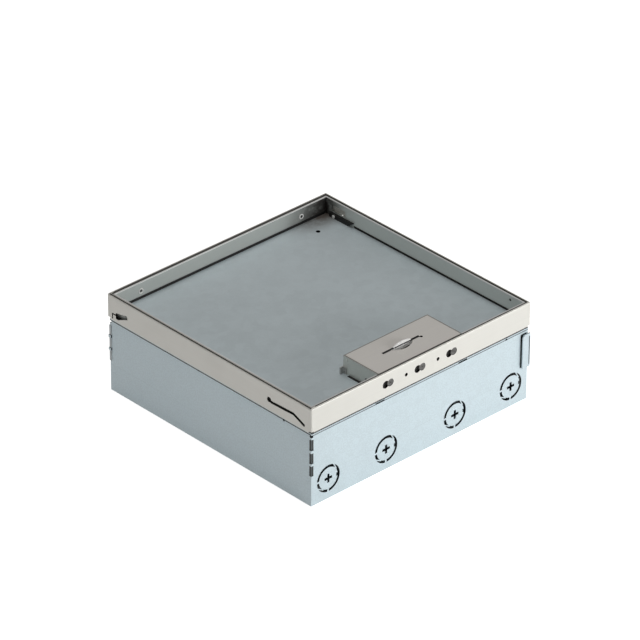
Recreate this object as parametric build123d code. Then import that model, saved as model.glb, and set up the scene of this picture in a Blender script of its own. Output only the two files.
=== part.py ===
from build123d import *
import math
import os

# Floor socket box with a tile-tray lid, a swivelling cable outlet and a lift handle.
# Millimetres, +Z up, origin at the centre of the underside. The cable outlet faces -Y.

# Overall sizes
box_side = 245.2            # outer side of the square cover frame
frame_top = 92.5            # underside of the box to the top edge of the cover frame
frame_height = 23.0         # height of the cover frame's band
frame_wall = 2.3            # thickness of the cover frame's band
frame_sheet = 1.2           # sheet of the cover frame's ledge
frame_round = 1.1           # rounding of the band's outer top edges and upright corners
ledge_side = 3.0            # width of the frame's inner ledge along the -X and +X sides
ledge_end = 14.0            # width of that ledge along the -Y and +Y sides
gasket_thick = 0.8          # gasket between cover frame and top ring
gasket_inset = 1.7          # how far the gasket stays back from the outer faces
ring_thick = 1.1            # sheet of the top ring
ring_leg = 7.0              # depth of the ring's leg inside the tub
tub_inset = 1.3             # tub face behind the cover frame's face
tub_wall = 1.25             # sheet of the tub
corner_notch = 3.1          # relief notch at the lower corners of the cover frame
corner_notch_height = 1.5

# Lid: a square tray that takes the floor covering
lid_gap = 1.0               # gap between lid rim and cover frame on three sides
hinge_gap = 1.5             # the same gap on the hinge side
rim_drop = 0.5              # lid rim top below the cover frame's top
rim_sheet = 1.0             # sheet of the lid rim
rim_depth = 18.7            # height of the lid rim
rim_flange = 12.0           # width of the flange that carries the lid plate
lid_plate_thick = 2.0       # galvanised floor of the tray
band_height = 2.4           # height of the dark strip between rim and tray floor on the hinge side
band_side_height = 1.8      # and on the other sides
band_thick = 0.5
plate_hole_radius = 2.0     # drain hole in the tray floor, near the +X +Y corner
plate_hole_inset_x = 26.5   # from the rim's inner faces
plate_hole_inset_y = 18.7
dimple_radius = 1.2
dimple_depth = 0.4
dimple_side_front = 17.3    # from the frame's inner front face
dimple_side_drop = 5.0
dimple_back_inset = 30.3
dimple_back_drop = 9.0
seal_gap = 0.4              # lid rim above the seal it closes on
seal_end_width = 4.4
seal_side_width = 2.3
seal_edge_gap = 0.5         # from a ledge's edge to the seal on it
seal_wall_gap = 0.4         # from the frame's inner face to the side strips
seal_stay_gap = 1.0
collar_rim_gap = 0.3        # from the collar to the cut end of the rim

# Lid hinge
hinge_back = 4.8            # hinge axis in front of the frame's inner face on +Y
hinge_drop = 3.5            # hinge axis below the frame's top
hinge_pin_radius = 1.5
hinge_pin_length = 3.0
running_gap = 0.05          # radial clearance of a pin in its hole

# Lid stays and the bent slots that show their track
stay_pivot_front = 51.6     # stay pivot in front of the hinge axis
stay_pivot_drop = 24.0
stay_pin_back = 6.9         # closed guide pin behind the frame's inner front face
stay_pin_drop = 19.8
stay_pin_radius = 0.9
stay_thick = 1.5
stay_inset = 5.7            # stay's inner face from the frame's inner face
stay_crank_run = 6.0        # length of the crank near the guide pin
stay_crank_gap = 1.3
stay_width = 7.0
stay_nose_radius = 1.2
stay_rivet_radius = 2.0
stay_rivet_head_radius = 3.2
stay_rivet_head = 0.7
stay_play = 0.2
lug_thick = 1.5
lug_gap = 0.5
lug_radius = 4.6
lug_foot_length = 18.0
lug_foot_width = 10.0
pin_end_gap = 0.3           # guide pin's end in front of the frame's wall
stay_notch_front = 2.6      # notch in the rim's flange in front of the guide pin
stay_notch_back = 9.4       # and behind it
stay_notch_side = 0.7
stay_pin_notch = 2.1        # half width of the pin's notch in the rim's wall
stay_pin_notch_rise = 1.0
track_width = 2.6
# Track as distances behind the frame's inner front face and below the frame's top
track_points = [(47.2, 13.0), (44.9, 14.3), (18.6, 13.4), (6.5, 18.4)]
track_eye_radius = 2.4      # round hole at the slot's back end

# Window beside the hinge in the cover frame, seen with the locating stud behind it, as distances in front
# of the frame's inner back face and below the frame's top
locator_window = [
    (10.6, 20.2), (8.0, 20.2), (8.0, 17.3), (4.55, 17.3), (4.55, 21.5), (3.25, 21.5), (3.25, 16.0),
    (8.0, 16.0), (8.0, 14.4), (13.6, 13.6), (16.4, 12.6), (21.3, 11.6), (22.3, 12.3), (22.3, 15.0),
]
locator_front = 14.3        # these lie in front of the frame's inner back face
locator_drop = 14.4
locator_radius = 1.6
locator_head_radius = 2.2
locator_head = 0.7
bracket_front = 37.6
bracket_front_foot = 31.0
bracket_back = 8.8
bracket_height = 4.0
bracket_gap = 0.2
bracket_thick = 2.2
rim_window_front = 26.3
rim_window_back = 9.8
rim_window_top_drop = 5.3
rim_window_height = 5.9

# Cable outlet
outlet_width = 94.0         # over the collar's side walls
outlet_depth = 41.3         # outer face of the collar's back wall to the frame's inner front face
outlet_drop = 0.2           # flap top below the cover frame's top
collar_sheet = 1.0
collar_flange = 8.0
collar_flange_gap = 0.5     # from the collar's side flange to the rim's flange
collar_step = 0.1           # collar's edge below the flap's top
outlet_zone = 48.5          # half width of the cut in ledge, ring and flange below the outlet
outlet_ledge = 4.0          # width of the ledge left there
outlet_lip = 1.5            # width of the rim flange left there
outlet_front_gap = 1.3      # front edge of the flap to the frame's inner face
flap_sheet = 1.5
flap_side_gap = 0.3
flap_back_gap = 0.1         # the flap's back edge bears on the collar here and stops it level
flap_axis_back = 3.3        # flap axis in front of the collar's back wall
flap_axis_drop = 3.5
flap_pin_radius = 1.2
flap_pin_proud = 0.4        # pin ends outside the collar
flap_ear_back = 1.5
flap_ear_radius = 3.0
flap_ear_thick = 2.0
flap_ear_gap = 1.0
outlet_seal_width = 2.4
outlet_seal_proud = 0.2
outlet_seal_length = 32.0
outlet_rivet_back = 14.3    # behind the frame's inner front face
outlet_rivet_drop = 11.2
outlet_rivet_radius = 1.3
outlet_rivet_head = 0.6
outlet_bracket_out = 4.0
outlet_bracket_along = 4.5
outlet_bracket_height = 6.2
bracket_sheet = 1.0
bracket_hole_radius = 0.7

# Lift handle in the flap
handle_back = 21.9          # handle's middle behind the frame's inner front face
handle_x_low = -22.0
handle_x_high = 18.3
handle_sheet = 1.2
handle_slot_gap = 0.3
handle_front_gap = 1.0      # open slit in front of the handle
handle_rise = 3.0           # top of the arch above the flap
handle_depth = 20.0
handle_foot = 3.0
handle_foot_height = 3.0
handle_arch_low = -12.5
handle_arch_high = 11.5
handle_window_width = 18.0
handle_window_height = 7.0
handle_window_drop = 4.0
handle_hook_radius = 1.3
handle_hook_offset = 2.2
handle_hook_shift = 1.0
recess_x_low = -13.0
recess_x_high = 10.0
recess_depth_y = 5.0
cup_wall = 0.8
cup_depth = 9.0

# Cable edge guard and its studs in the frame's front keyholes
guard_half_width = 45.0
guard_thick = 0.9
guard_top_drop = 9.0
guard_bottom_drop = 20.0
keyhole_drop = 10.8
keyhole_radius = 3.4
keyhole_shift = 5.2
keyhole_places = [-35.9, -0.5, 34.9]
stud_radius = 3.25
stud_recess = 0.2
small_hole_places = [-18.4, 17.1]
small_hole_radius = 1.6

# Tub openings
knockout_inset = 20.0       # outer knock-outs from the box's sides
knockout_inner = 38.7       # inner knock-outs from the middle
knockout_height = 19.0      # centre above the underside
knockout_radius = 12.5
knockout_slot = 2.4
# Bridges across each knock-out's slot as angle round the ring, slant from the radius and width
knockout_bridges = [(52.0, 66.0, 1.0), (179.5, 0.0, 1.7), (218.5, -66.0, 1.0), (269.0, 0.0, 1.7)]
knockout_bridge_length = 8.0
knockout_nub_radius = 9.5
knockout_nub_width = 1.5
knockout_nub_height = 3.0
cross_length = 8.3
tub_slot_places = [-46.0, 46.5]
tub_slot_width = 9.7
tub_slot_height = 1.4
tub_nick_inset_x = 26.2
tub_nick_inset_y = 33.7
tub_nick_side = 2.0
tub_nick_drop = 26.6
corner_window_half = 1.9
corner_windows_drop = [(30.0, 39.3), (41.9, 51.6), (53.9, 64.0)]
corner_small_window_drop = (25.7, 27.9)
bridge_proud = 1.0
fixing_pitch = 180.0
fixing_radius = 3.0

# Anchor lugs that grip the screed, one on each side of the +X end
anchor_width = 8.6
anchor_top_drop = 28.5
anchor_height = 31.7
anchor_sheet = 1.0
anchor_proud = 2.5
anchor_over = 0.6           # how far the tongue passes the tub's corner
anchor_slot = 2.5           # slot in the tub's wall behind the tongue's edge
anchor_slot_shift = 0.2
anchor_slot_top = 1.2
anchor_slot_end = 1.5       # wall left between the slot and the tub's corner
anchor_corner_radius = 3.5

# Corner posts inside the tub
post_leg = 14.0
post_sheet = 1.5
post_pad_gap = 0.1
post_pad_proud = 0.5        # pads of the posts in the corner windows, in front of the tub
post_gap = 1.35             # below the top ring's leg

# Screws
frame_screw_inset_x = 20.3
frame_screw_inset_y = 5.4
frame_screw_radius = 2.0
frame_screw_head_radius = 3.0
frame_screw_head = 1.8
frame_screw_length = 7.6
frame_nut_flats = 7.0
frame_nut_height = 3.2
screw_hole_gap = 0.1
slot_width = 0.8
slot_depth = 0.8

# Device carrier and devices
carrier_inset = 12.05       # carrier's sides from the tub's inner faces
carrier_inset_front = 46.05
carrier_inset_back = 36.05
carrier_top = 29.5
carrier_sheet = 1.5
carrier_foot = 12.0
carrier_screw_inset = 14.0
carrier_screw_radius = 1.9
carrier_screw_head_radius = 3.6
carrier_screw_head = 2.2
tray_inset = 39.0           # middle of a device tray from the carrier's end
module_pitch = 46.0
module_side = 45.8
module_body = 44.4
module_gap = 0.2
module_lip = 1.2
module_floor = 4.0
tray_width = 146.0
tray_depth = 54.0
tray_height = 2.5
tray_drop = 6.0
tray_wall = 1.0
socket_recess_radius = 19.7
socket_recess_depth = 15.0
socket_pin_spacing = 19.0
socket_pin_depth = 11.0
sleeve_outer_radius = 2.8
sleeve_inner_radius = 2.45
clip_width = 4.0
clip_thick = 0.8
clip_length = 12.0
jack_width = 15.0
jack_height = 13.5
jack_pitch = 21.0
jack_depth = 14.0
jack_port_width = 11.8
jack_port_height = 8.2
jack_port_depth = 11.0
divider_sheet = 1.0
divider_foot = 9.0
earth_x = -60.0
earth_inset = 24.05
earth_stud_radius = 2.5
earth_stud_height = 14.0
earth_plate_side = 14.0
earth_plate_thick = 1.5
earth_nut_flats = 8.0
earth_nut_height = 4.0

# Sizes that follow from the ones above
box_half = box_side / 2
frame_in = box_half - frame_wall
frame_bottom = frame_top - frame_height
ledge_top = frame_bottom + frame_sheet
ring_top = frame_bottom - gasket_thick
tub_top = ring_top - ring_thick
tub_half = box_half - tub_inset
tub_in = tub_half - tub_wall
rim_top = frame_top - rim_drop
rim_bottom = rim_top - rim_depth
rim_half = frame_in - lid_gap
rim_back = frame_in - hinge_gap
rim_in = rim_half - rim_sheet
rim_back_in = rim_back - rim_sheet
plate_bottom = rim_bottom + rim_sheet
plate_top = plate_bottom + lid_plate_thick
seal_top = rim_bottom - seal_gap
hinge_y = frame_in - hinge_back
hinge_z = frame_top - hinge_drop
collar_half = outlet_width / 2
collar_in = collar_half - collar_sheet
outlet_back_y = -frame_in + outlet_depth
collar_back_in = outlet_back_y - collar_sheet
collar_top = frame_top - outlet_drop - collar_step
flap_top = frame_top - outlet_drop
flap_bottom = flap_top - flap_sheet
flap_half = collar_in - flap_side_gap
flap_back = collar_back_in - flap_back_gap
flap_front = -(frame_in - outlet_front_gap)
flap_axis_y = collar_back_in - flap_axis_back
flap_axis_z = frame_top - flap_axis_drop
guard_back = frame_in - guard_thick
stay_inner_x = frame_in - stay_inset
stay_outer_x = stay_inner_x + stay_thick
stay_pivot_y = hinge_y - stay_pivot_front
stay_pin_y = -frame_in + stay_pin_back
stay_pivot_z = frame_top - stay_pivot_drop
stay_pin_z = frame_top - stay_pin_drop
keyhole_z = frame_top - keyhole_drop
module_top = carrier_top + tray_height + module_lip
locator_y = frame_in - locator_front
bracket_y_low = frame_in - bracket_front
bracket_y_low_foot = frame_in - bracket_front_foot
bracket_y_high = frame_in - bracket_back
outlet_rivet_y = -frame_in + outlet_rivet_back
handle_y = -frame_in + handle_back
handle_hook_y = handle_y - handle_hook_offset
knockout_outer = box_half - knockout_inset
knockout_places = [-knockout_outer, -knockout_inner, knockout_inner, knockout_outer]
plate_hole_x = rim_in - plate_hole_inset_x
plate_hole_y = rim_back_in - plate_hole_inset_y
frame_screw_x = frame_in - frame_screw_inset_x
frame_screw_y = frame_in - frame_screw_inset_y
anchor_high_x = tub_half + anchor_over
anchor_low_x = anchor_high_x - anchor_width
anchor_top = frame_top - anchor_top_drop
carrier_x = tub_in - carrier_inset
carrier_y_low = -tub_in + carrier_inset_front
carrier_y_high = tub_in - carrier_inset_back
carrier_screw_y = -carrier_y_low - carrier_screw_inset
power_y = carrier_y_high - tray_inset
data_y = carrier_y_low + tray_inset
divider_y = (power_y + data_y) / 2
earth_y = -tub_in + earth_inset


def block(x_range, y_range, z_range):
    """A box between two values on each axis."""
    (x0, x1), (y0, y1), (z0, z1) = x_range, y_range, z_range
    centre = Pos((x0 + x1) / 2, (y0 + y1) / 2, (z0 + z1) / 2)
    return centre * Box(abs(x1 - x0), abs(y1 - y0), abs(z1 - z0))


def square_block(half, z_range):
    """A square block centred on the box."""
    return block((-half, half), (-half, half), z_range)


def rod_x(y, z, radius, x_range):
    """A round rod along X."""
    x0, x1 = x_range
    return Pos((x0 + x1) / 2, y, z) * Rot(0, 90, 0) * Cylinder(radius, abs(x1 - x0))


def rod_y(x, z, radius, y_range):
    """A round rod along Y."""
    y0, y1 = y_range
    return Pos(x, (y0 + y1) / 2, z) * Rot(90, 0, 0) * Cylinder(radius, abs(y1 - y0))


def rod_z(x, y, radius, z_range):
    """A round rod along Z."""
    z0, z1 = z_range
    return Pos(x, y, (z0 + z1) / 2) * Cylinder(radius, abs(z1 - z0))


def side_plate(points, x_range):
    """A flat piece whose outline is given in Y and Z, between two X values."""
    x0, x1 = x_range
    face = make_face(Polyline(*points, close=True))
    plane = Plane((x0, 0, 0), x_dir=(0, 1, 0), z_dir=(1, 0, 0))
    return extrude(plane * face, amount=x1 - x0)


def front_plate(face, y_start, length):
    """A face drawn in X and Z, extruded towards +Y from y_start."""
    plane = Plane((0, y_start, 0), x_dir=(1, 0, 0), z_dir=(0, -1, 0))
    return extrude(plane * face, amount=-length)


def both_x(shape):
    """The piece and its mirror image on the other side of X = 0, as separate solids."""
    return solids_of(shape) + solids_of(mirror(shape, about=Plane.YZ))


def both_y(shape):
    """The piece and its mirror image on the other side of Y = 0, as separate solids."""
    return solids_of(shape) + solids_of(mirror(shape, about=Plane.XZ))


def solids_of(shape):
    """All solids of a shape or of a list of shapes."""
    if isinstance(shape, (list, tuple)):
        return [solid for item in shape for solid in solids_of(item)]
    return list(shape.solids())


def save(name, shape):
    """Writes one node's solids to its own file."""
    solids = solids_of(shape)
    whole = solids[0] if len(solids) == 1 else Compound(children=solids)
    export_step(whole, f"parts/{name}.step")


def hexagon(flats, z_range):
    """A hexagonal prism with two flats facing Y."""
    z0, z1 = z_range
    face = RegularPolygon(flats / math.sqrt(3), 6, rotation=0)
    return Pos(0, 0, z0) * extrude(face, amount=z1 - z0)


def ledge_plate(half, z_range):
    """A square frame plate with the ledge's inner outline and the cut below the cable outlet."""
    end = frame_in - ledge_end
    side = frame_in - ledge_side
    opening = block((-side, side), (-end, end), z_range)
    outlet_cut = block((-outlet_zone, outlet_zone), (-(frame_in - outlet_ledge), -end + 1), z_range)
    return square_block(half, z_range) - opening - outlet_cut


def frame_screw_places():
    """Centres of the four screws that hold the cover frame down."""
    return [(sx * frame_screw_x, sy * frame_screw_y) for sx in (-1, 1) for sy in (-1, 1)]


def screw_holes(z_range):
    """Clearance holes for the frame screws."""
    radius = frame_screw_radius + screw_hole_gap
    return [rod_z(x, y, radius, z_range) for x, y in frame_screw_places()]


def track_cut(x_range):
    """The bent slot that shows the lid stay's track."""
    pieces = []
    points = [(-frame_in + back, frame_top - drop) for back, drop in track_points]
    pieces.append(rod_x(*points[0], track_eye_radius, x_range))
    for (ya, za), (yb, zb) in zip(points, points[1:]):
        length = math.hypot(yb - ya, zb - za)
        angle = math.degrees(math.atan2(zb - za, yb - ya))
        run = Rot(angle, 0, 0) * Box(abs(x_range[1] - x_range[0]), length, track_width)
        middle = Pos(sum(x_range) / 2, (ya + yb) / 2, (za + zb) / 2)
        pieces.append(middle * run)
    for y, z in points:
        pieces.append(rod_x(y, z, track_width / 2, x_range))
    return pieces


def cover_frame():
    """Stainless cover frame: the square band with its inner ledge."""
    z_range = (frame_bottom, frame_top)
    outer = square_block(box_half, z_range)
    outer = fillet(outer.edges().filter_by(Axis.Z), frame_round)
    outer = fillet(outer.edges().group_by(Axis.Z)[-1], frame_round)
    band = outer - square_block(frame_in, z_range)
    ledge = ledge_plate(box_half, (frame_bottom, ledge_top))
    frame = band + ledge
    wall = (frame_in - 1, box_half + 1)
    window = [(frame_in - front, frame_top - drop) for front, drop in locator_window]
    for cutter in track_cut(wall) + [side_plate(window, wall)]:
        frame -= cutter
        frame -= mirror(cutter, about=Plane.YZ)
    front = (-box_half - 1, -frame_in + 1)
    for x in keyhole_places:
        frame -= rod_y(x, keyhole_z, keyhole_radius, front)
        frame -= rod_y(x - keyhole_shift, keyhole_z, keyhole_radius, front)
    for x in small_hole_places:
        frame -= rod_y(x, keyhole_z, small_hole_radius, front)
    for hole in screw_holes((frame_bottom - 1, ledge_top + 1)):
        frame -= hole
    inner = box_half - corner_notch
    notch_z = (frame_bottom, frame_bottom + corner_notch_height)
    for sx in (-1, 1):
        for sy in (-1, 1):
            frame -= block((sx * inner, sx * box_half), (sy * inner, sy * box_half), notch_z)
    return frame


def frame_gasket():
    """Soft gasket between the cover frame and the top ring."""
    z_range = (ring_top, frame_bottom)
    gasket = ledge_plate(box_half - gasket_inset, z_range)
    for hole in screw_holes((ring_top - 1, frame_bottom + 1)):
        gasket -= hole
    return gasket


def slot_cutters(z_range):
    """Cutters for the wide slots along the top of the tub's front and back walls."""
    y_range = (-tub_half - 1, -tub_in + 2)
    cuts = [block((x - tub_slot_width / 2, x + tub_slot_width / 2), y_range, z_range) for x in tub_slot_places]
    return solids_of([both_y(cut) for cut in cuts])


def top_ring():
    """Galvanised ring on the tub: a flat frame with a leg inside the walls."""
    ring = ledge_plate(tub_half, (tub_top, ring_top))
    leg_z = (tub_top - ring_leg, tub_top)
    ring += square_block(tub_in, leg_z) - square_block(tub_in - ring_thick, leg_z)
    for cutter in slot_cutters((tub_top - tub_slot_height, tub_top)):
        ring -= cutter
    for hole in screw_holes((tub_top - 1, ring_top + 1)):
        ring -= hole
    return ring


def frame_screws():
    """Four pan-head screws that clamp frame, gasket and ring."""
    screws = []
    for x, y in frame_screw_places():
        head_z = (ledge_top, ledge_top + frame_screw_head)
        screw = rod_z(x, y, frame_screw_head_radius, head_z)
        screw += rod_z(x, y, frame_screw_radius, (ledge_top - frame_screw_length, ledge_top))
        slot_z = (head_z[1] - slot_depth, head_z[1])
        length = frame_screw_head_radius + 1
        screw -= block((x - length, x + length), (y - slot_width / 2, y + slot_width / 2), slot_z)
        screws.append(screw)
    return screws


def frame_nuts():
    """Nuts below the ring for the frame screws."""
    z_range = (tub_top - frame_nut_height, tub_top)
    nuts = []
    for x, y in frame_screw_places():
        bore = rod_z(x, y, frame_screw_radius, z_range)
        nuts.append(Pos(x, y, 0) * hexagon(frame_nut_flats, z_range) - bore)
    return nuts


def knockout_cutters():
    """Slots, nub and cross of each knock-out in the front wall."""
    ring = Circle(knockout_radius) - Circle(knockout_radius - knockout_slot)
    for angle, slant, width in knockout_bridges:
        place = Rot(0, 0, angle) * Pos(knockout_radius - knockout_slot / 2, 0)
        ring -= place * Rot(0, 0, slant) * Rectangle(knockout_bridge_length, width)
    faces = list(ring.faces())
    faces.append(Pos(knockout_nub_radius, 0) * Rectangle(knockout_nub_width, knockout_nub_height))
    cutters = []
    for x in knockout_places:
        for face in faces:
            cut = front_plate(face, -tub_half - 1, tub_wall + 2)
            cutters.append(Pos(x, 0, knockout_height) * cut)
        y_range = (-tub_half - 1, -tub_in + 1)
        wide = (x - cross_length / 2, x + cross_length / 2)
        slim = (x - knockout_slot / 2, x + knockout_slot / 2)
        low = (knockout_height - knockout_slot / 2, knockout_height + knockout_slot / 2)
        tall = (knockout_height - cross_length / 2, knockout_height + cross_length / 2)
        cutters.append(block(wide, y_range, low) + block(slim, y_range, tall))
    return cutters


def box_tub():
    """Galvanised tub: four walls and a base folded from sheet, with knock-outs and fixing holes."""
    tub = square_block(tub_half, (0, tub_top)) - square_block(tub_in, (tub_wall, tub_top))
    reach = corner_window_half
    bridge_out = min(tub_half + bridge_proud, box_half)
    for sy in (-1, 1):
        low = frame_top - corner_windows_drop[-1][1]
        high = frame_top - corner_windows_drop[0][0]
        outer_y = sy * (tub_half + bridge_proud)
        strip = block((-bridge_out, -tub_half + reach), (sy * (tub_half - reach), outer_y), (low, high))
        inside = block((-tub_in, 0), (0, sy * tub_in), (low, high))
        tub += strip - inside
        for top_drop, bottom_drop in corner_windows_drop + [corner_small_window_drop]:
            z_range = (frame_top - bottom_drop, frame_top - top_drop)
            across = (-bridge_out - 1, -tub_half + reach)
            tub -= block(across, (sy * (tub_half - reach), outer_y + sy), z_range)
    cutters = knockout_cutters()
    nick_z = (frame_top - tub_nick_drop, frame_top - tub_nick_drop + tub_nick_side)
    half_nick = tub_nick_side / 2
    nick_x = box_half - tub_nick_inset_x
    nick_y = -box_half + tub_nick_inset_y
    cutters.append(block((nick_x - half_nick, nick_x + half_nick), (-tub_half - 1, -tub_in + 1), nick_z))
    for cutter in cutters:
        for cut in both_y(cutter):
            tub -= cut
    side = block((-tub_half - 1, -tub_in + 1), (nick_y - half_nick, nick_y + half_nick), nick_z)
    slot_x = anchor_low_x - anchor_slot_shift
    slot_y = (-tub_half - 1, -tub_in + 1)
    slot_high = anchor_top + anchor_slot_shift
    upright = block((slot_x, slot_x + anchor_slot), slot_y, (anchor_top - anchor_height, slot_high))
    level = block((slot_x, tub_half - anchor_slot_end), slot_y, (slot_high - anchor_slot_top, slot_high))
    for slot in both_y(upright) + both_y(level):
        tub -= slot
    for cut in both_x(side) + slot_cutters((tub_top - tub_slot_height, tub_top)):
        tub -= cut
    for sx in (-1, 1):
        for sy in (-1, 1):
            place = fixing_pitch / 2
            tub -= rod_z(sx * place, sy * place, fixing_radius, (-1, tub_wall + 1))
    return tub


def anchor_lug():
    """Sprung-out strap at the +X end of the front wall: a flat tongue with a joggled foot."""
    top = anchor_top
    bottom = top - anchor_height
    face_y = -tub_half
    out_y = face_y - anchor_proud
    tongue = block((anchor_low_x, anchor_high_x), (out_y, out_y + anchor_sheet), (bottom, top))
    corner = Pos(anchor_low_x, 0, top)
    radius = anchor_corner_radius
    square = block((0, radius), (out_y - 1, out_y + anchor_sheet + 1), (-radius, 0))
    tongue -= corner * (square - rod_y(radius, -radius, radius, (out_y - 1, out_y + anchor_sheet + 1)))
    rib_x = (anchor_low_x + radius, tub_half)
    head = block(rib_x, (out_y + anchor_sheet, face_y), (top - radius, top - radius + anchor_sheet))
    foot = block(rib_x, (out_y + anchor_sheet, face_y), (bottom, bottom + anchor_sheet))
    return tongue + head + foot


def corner_post():
    """Angle post in a corner of the tub."""
    z_range = (tub_wall, tub_top - ring_leg - post_gap)
    edge = tub_in - post_leg
    leg = tub_in - post_sheet
    return block((edge, tub_in), (leg, tub_in), z_range) + block((leg, tub_in), (edge, tub_in), z_range)


def window_post():
    """Angle post behind the corner windows, with a pad that stands in each of them."""
    post = mirror(corner_post(), about=Plane.YZ)
    low = tub_half - corner_window_half + post_pad_gap
    high = tub_half + post_pad_proud
    clear = tub_in + post_pad_gap
    post_top = tub_top - ring_leg - post_gap
    for top_drop, bottom_drop in corner_windows_drop:
        z_range = (frame_top - bottom_drop + post_pad_gap, frame_top - top_drop - post_pad_gap)
        pad = block((-high, -low), (low, high), z_range)
        if z_range[1] > post_top:
            pad -= block((-clear, 0), (0, clear), (post_top, z_range[1]))
        post += pad
    return post


def lid_seal():
    """Seal strips on the frame's ledge that the lid closes on, left open where the stays pass."""
    z_range = (ledge_top, seal_top)
    end = frame_in - ledge_end + seal_edge_gap
    outer_x = frame_in - seal_wall_gap
    inner_x = outer_x - seal_side_width
    back = block((-outer_x, outer_x), (end, end + seal_end_width), z_range)
    side_low = stay_pin_y + stay_notch_back
    right = block((inner_x, outer_x), (side_low, end), z_range)
    left = mirror(right, about=Plane.YZ)
    front_high = stay_inner_x - seal_stay_gap
    front = block((outlet_zone + collar_rim_gap, front_high), (-end - seal_end_width, -end), z_range)
    return [back + right + left] + both_x(front)


def hinge_pins():
    """Two pins fixed inside the cover frame that carry the lid."""
    return both_x(rod_x(hinge_y, hinge_z, hinge_pin_radius, (frame_in - hinge_pin_length, frame_in)))


def cable_edge_guard():
    """Dark strip inside the frame's front wall that protects the cables from its holes."""
    z_range = (frame_top - guard_bottom_drop, frame_top - guard_top_drop)
    return block((-guard_half_width, guard_half_width), (-frame_in, -guard_back), z_range)


def guard_studs():
    """Studs of the edge guard in the frame's keyholes."""
    y_range = (-box_half + stud_recess, -frame_in)
    return [rod_y(x, keyhole_z, stud_radius, y_range) for x in keyhole_places]


def lid_rim():
    """Stainless rim of the lid: an upright band with an inward flange."""
    z_range = (rim_bottom, rim_top)
    outer = block((-rim_half, rim_half), (-rim_half, rim_back), z_range)
    hollow = block((-rim_in, rim_in), (-rim_in, rim_back_in), z_range)
    flange_in = rim_half - rim_flange
    flange_z = (rim_bottom, plate_bottom)
    flange = block((-rim_half, rim_half), (-rim_half, rim_back), flange_z)
    flange -= block((-flange_in, flange_in), (-flange_in, rim_back - rim_flange), flange_z)
    rim = (outer - hollow) + flange
    zone_gap = collar_half + collar_rim_gap
    rim -= block((-zone_gap, zone_gap), (-rim_half, -rim_in), z_range)
    rim -= block((-outlet_zone, outlet_zone), (-rim_in + outlet_lip, -flange_in + 1), z_range)
    wall = (rim_in - 1, rim_half + 1)
    window_z = (frame_top - rim_window_top_drop - rim_window_height, frame_top - rim_window_top_drop)
    pin_notch_z = (rim_bottom, stay_pin_z + stay_pin_radius + stay_pin_notch_rise)
    stay_notch_y = (stay_pin_y - stay_notch_front, stay_pin_y + stay_notch_back)
    cutters = [
        rod_x(hinge_y, hinge_z, hinge_pin_radius + running_gap, wall),
        block(wall, (frame_in - rim_window_front, frame_in - rim_window_back), window_z),
        rod_x(locator_y, frame_top - locator_drop, locator_radius, wall),
        block(wall, (stay_pin_y - stay_pin_notch, stay_pin_y + stay_pin_notch), pin_notch_z),
        block((stay_inner_x - stay_notch_side, rim_half), stay_notch_y, flange_z),
        rod_x(-frame_in + dimple_side_front, frame_top - dimple_side_drop, dimple_radius, (rim_in - 1, rim_in + dimple_depth)),
    ]
    for cutter in cutters:
        rim -= cutter
        rim -= mirror(cutter, about=Plane.YZ)
    for x in (-frame_in + dimple_back_inset, frame_in - dimple_back_inset):
        rim -= rod_y(x, frame_top - dimple_back_drop, dimple_radius, (rim_back_in - 1, rim_back_in + dimple_depth))
    return rim


def lid_plate():
    """Galvanised floor of the lid's tray, cut out round the cable outlet."""
    z_range = (plate_bottom, plate_top)
    plate = block((-rim_in, rim_in), (-rim_in, rim_back_in), z_range)
    slot = collar_half + outlet_seal_width
    plate -= block((-slot, slot), (-rim_in, -rim_in + outlet_seal_length), z_range)
    plate -= block((-collar_half, collar_half), (-rim_in, outlet_back_y), z_range)
    return plate - rod_z(plate_hole_x, plate_hole_y, plate_hole_radius, z_range)


def lid_gap_seal():
    """Dark strips along the foot of the rim's inner faces."""
    z_range = (plate_top, plate_top + band_height)
    back = block((-rim_in, rim_in), (rim_back_in - band_thick, rim_back_in), z_range)
    side_z = (plate_top, plate_top + band_side_height)
    side = block((rim_in - band_thick, rim_in), (-rim_in, bracket_y_low - bracket_gap), side_z)
    start = collar_half + outlet_seal_width
    front = block((start, rim_in - band_thick), (-rim_in, -rim_in + band_thick), side_z)
    return [back] + both_x(side) + both_x(front)


def locator_bracket():
    """Dark bracket at the foot of the rim beside the hinge."""
    high = plate_top + bracket_height
    points = [
        (bracket_y_low_foot, plate_top), (bracket_y_high, plate_top),
        (bracket_y_high, high), (bracket_y_low, high),
    ]
    bracket = side_plate(points, (rim_in - bracket_thick, rim_in))
    return bracket - rod_x(locator_y, frame_top - locator_drop, locator_radius, (rim_in - 3, rim_in + 1))


def locator_rivet():
    """Stud through bracket and rim, with its head behind the frame's window."""
    z = frame_top - locator_drop
    inner = rim_in - bracket_thick
    shank = rod_x(locator_y, z, locator_radius, (inner - locator_head, rim_half))
    return shank + rod_x(locator_y, z, locator_head_radius, (rim_half, rim_half + locator_head))


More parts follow.
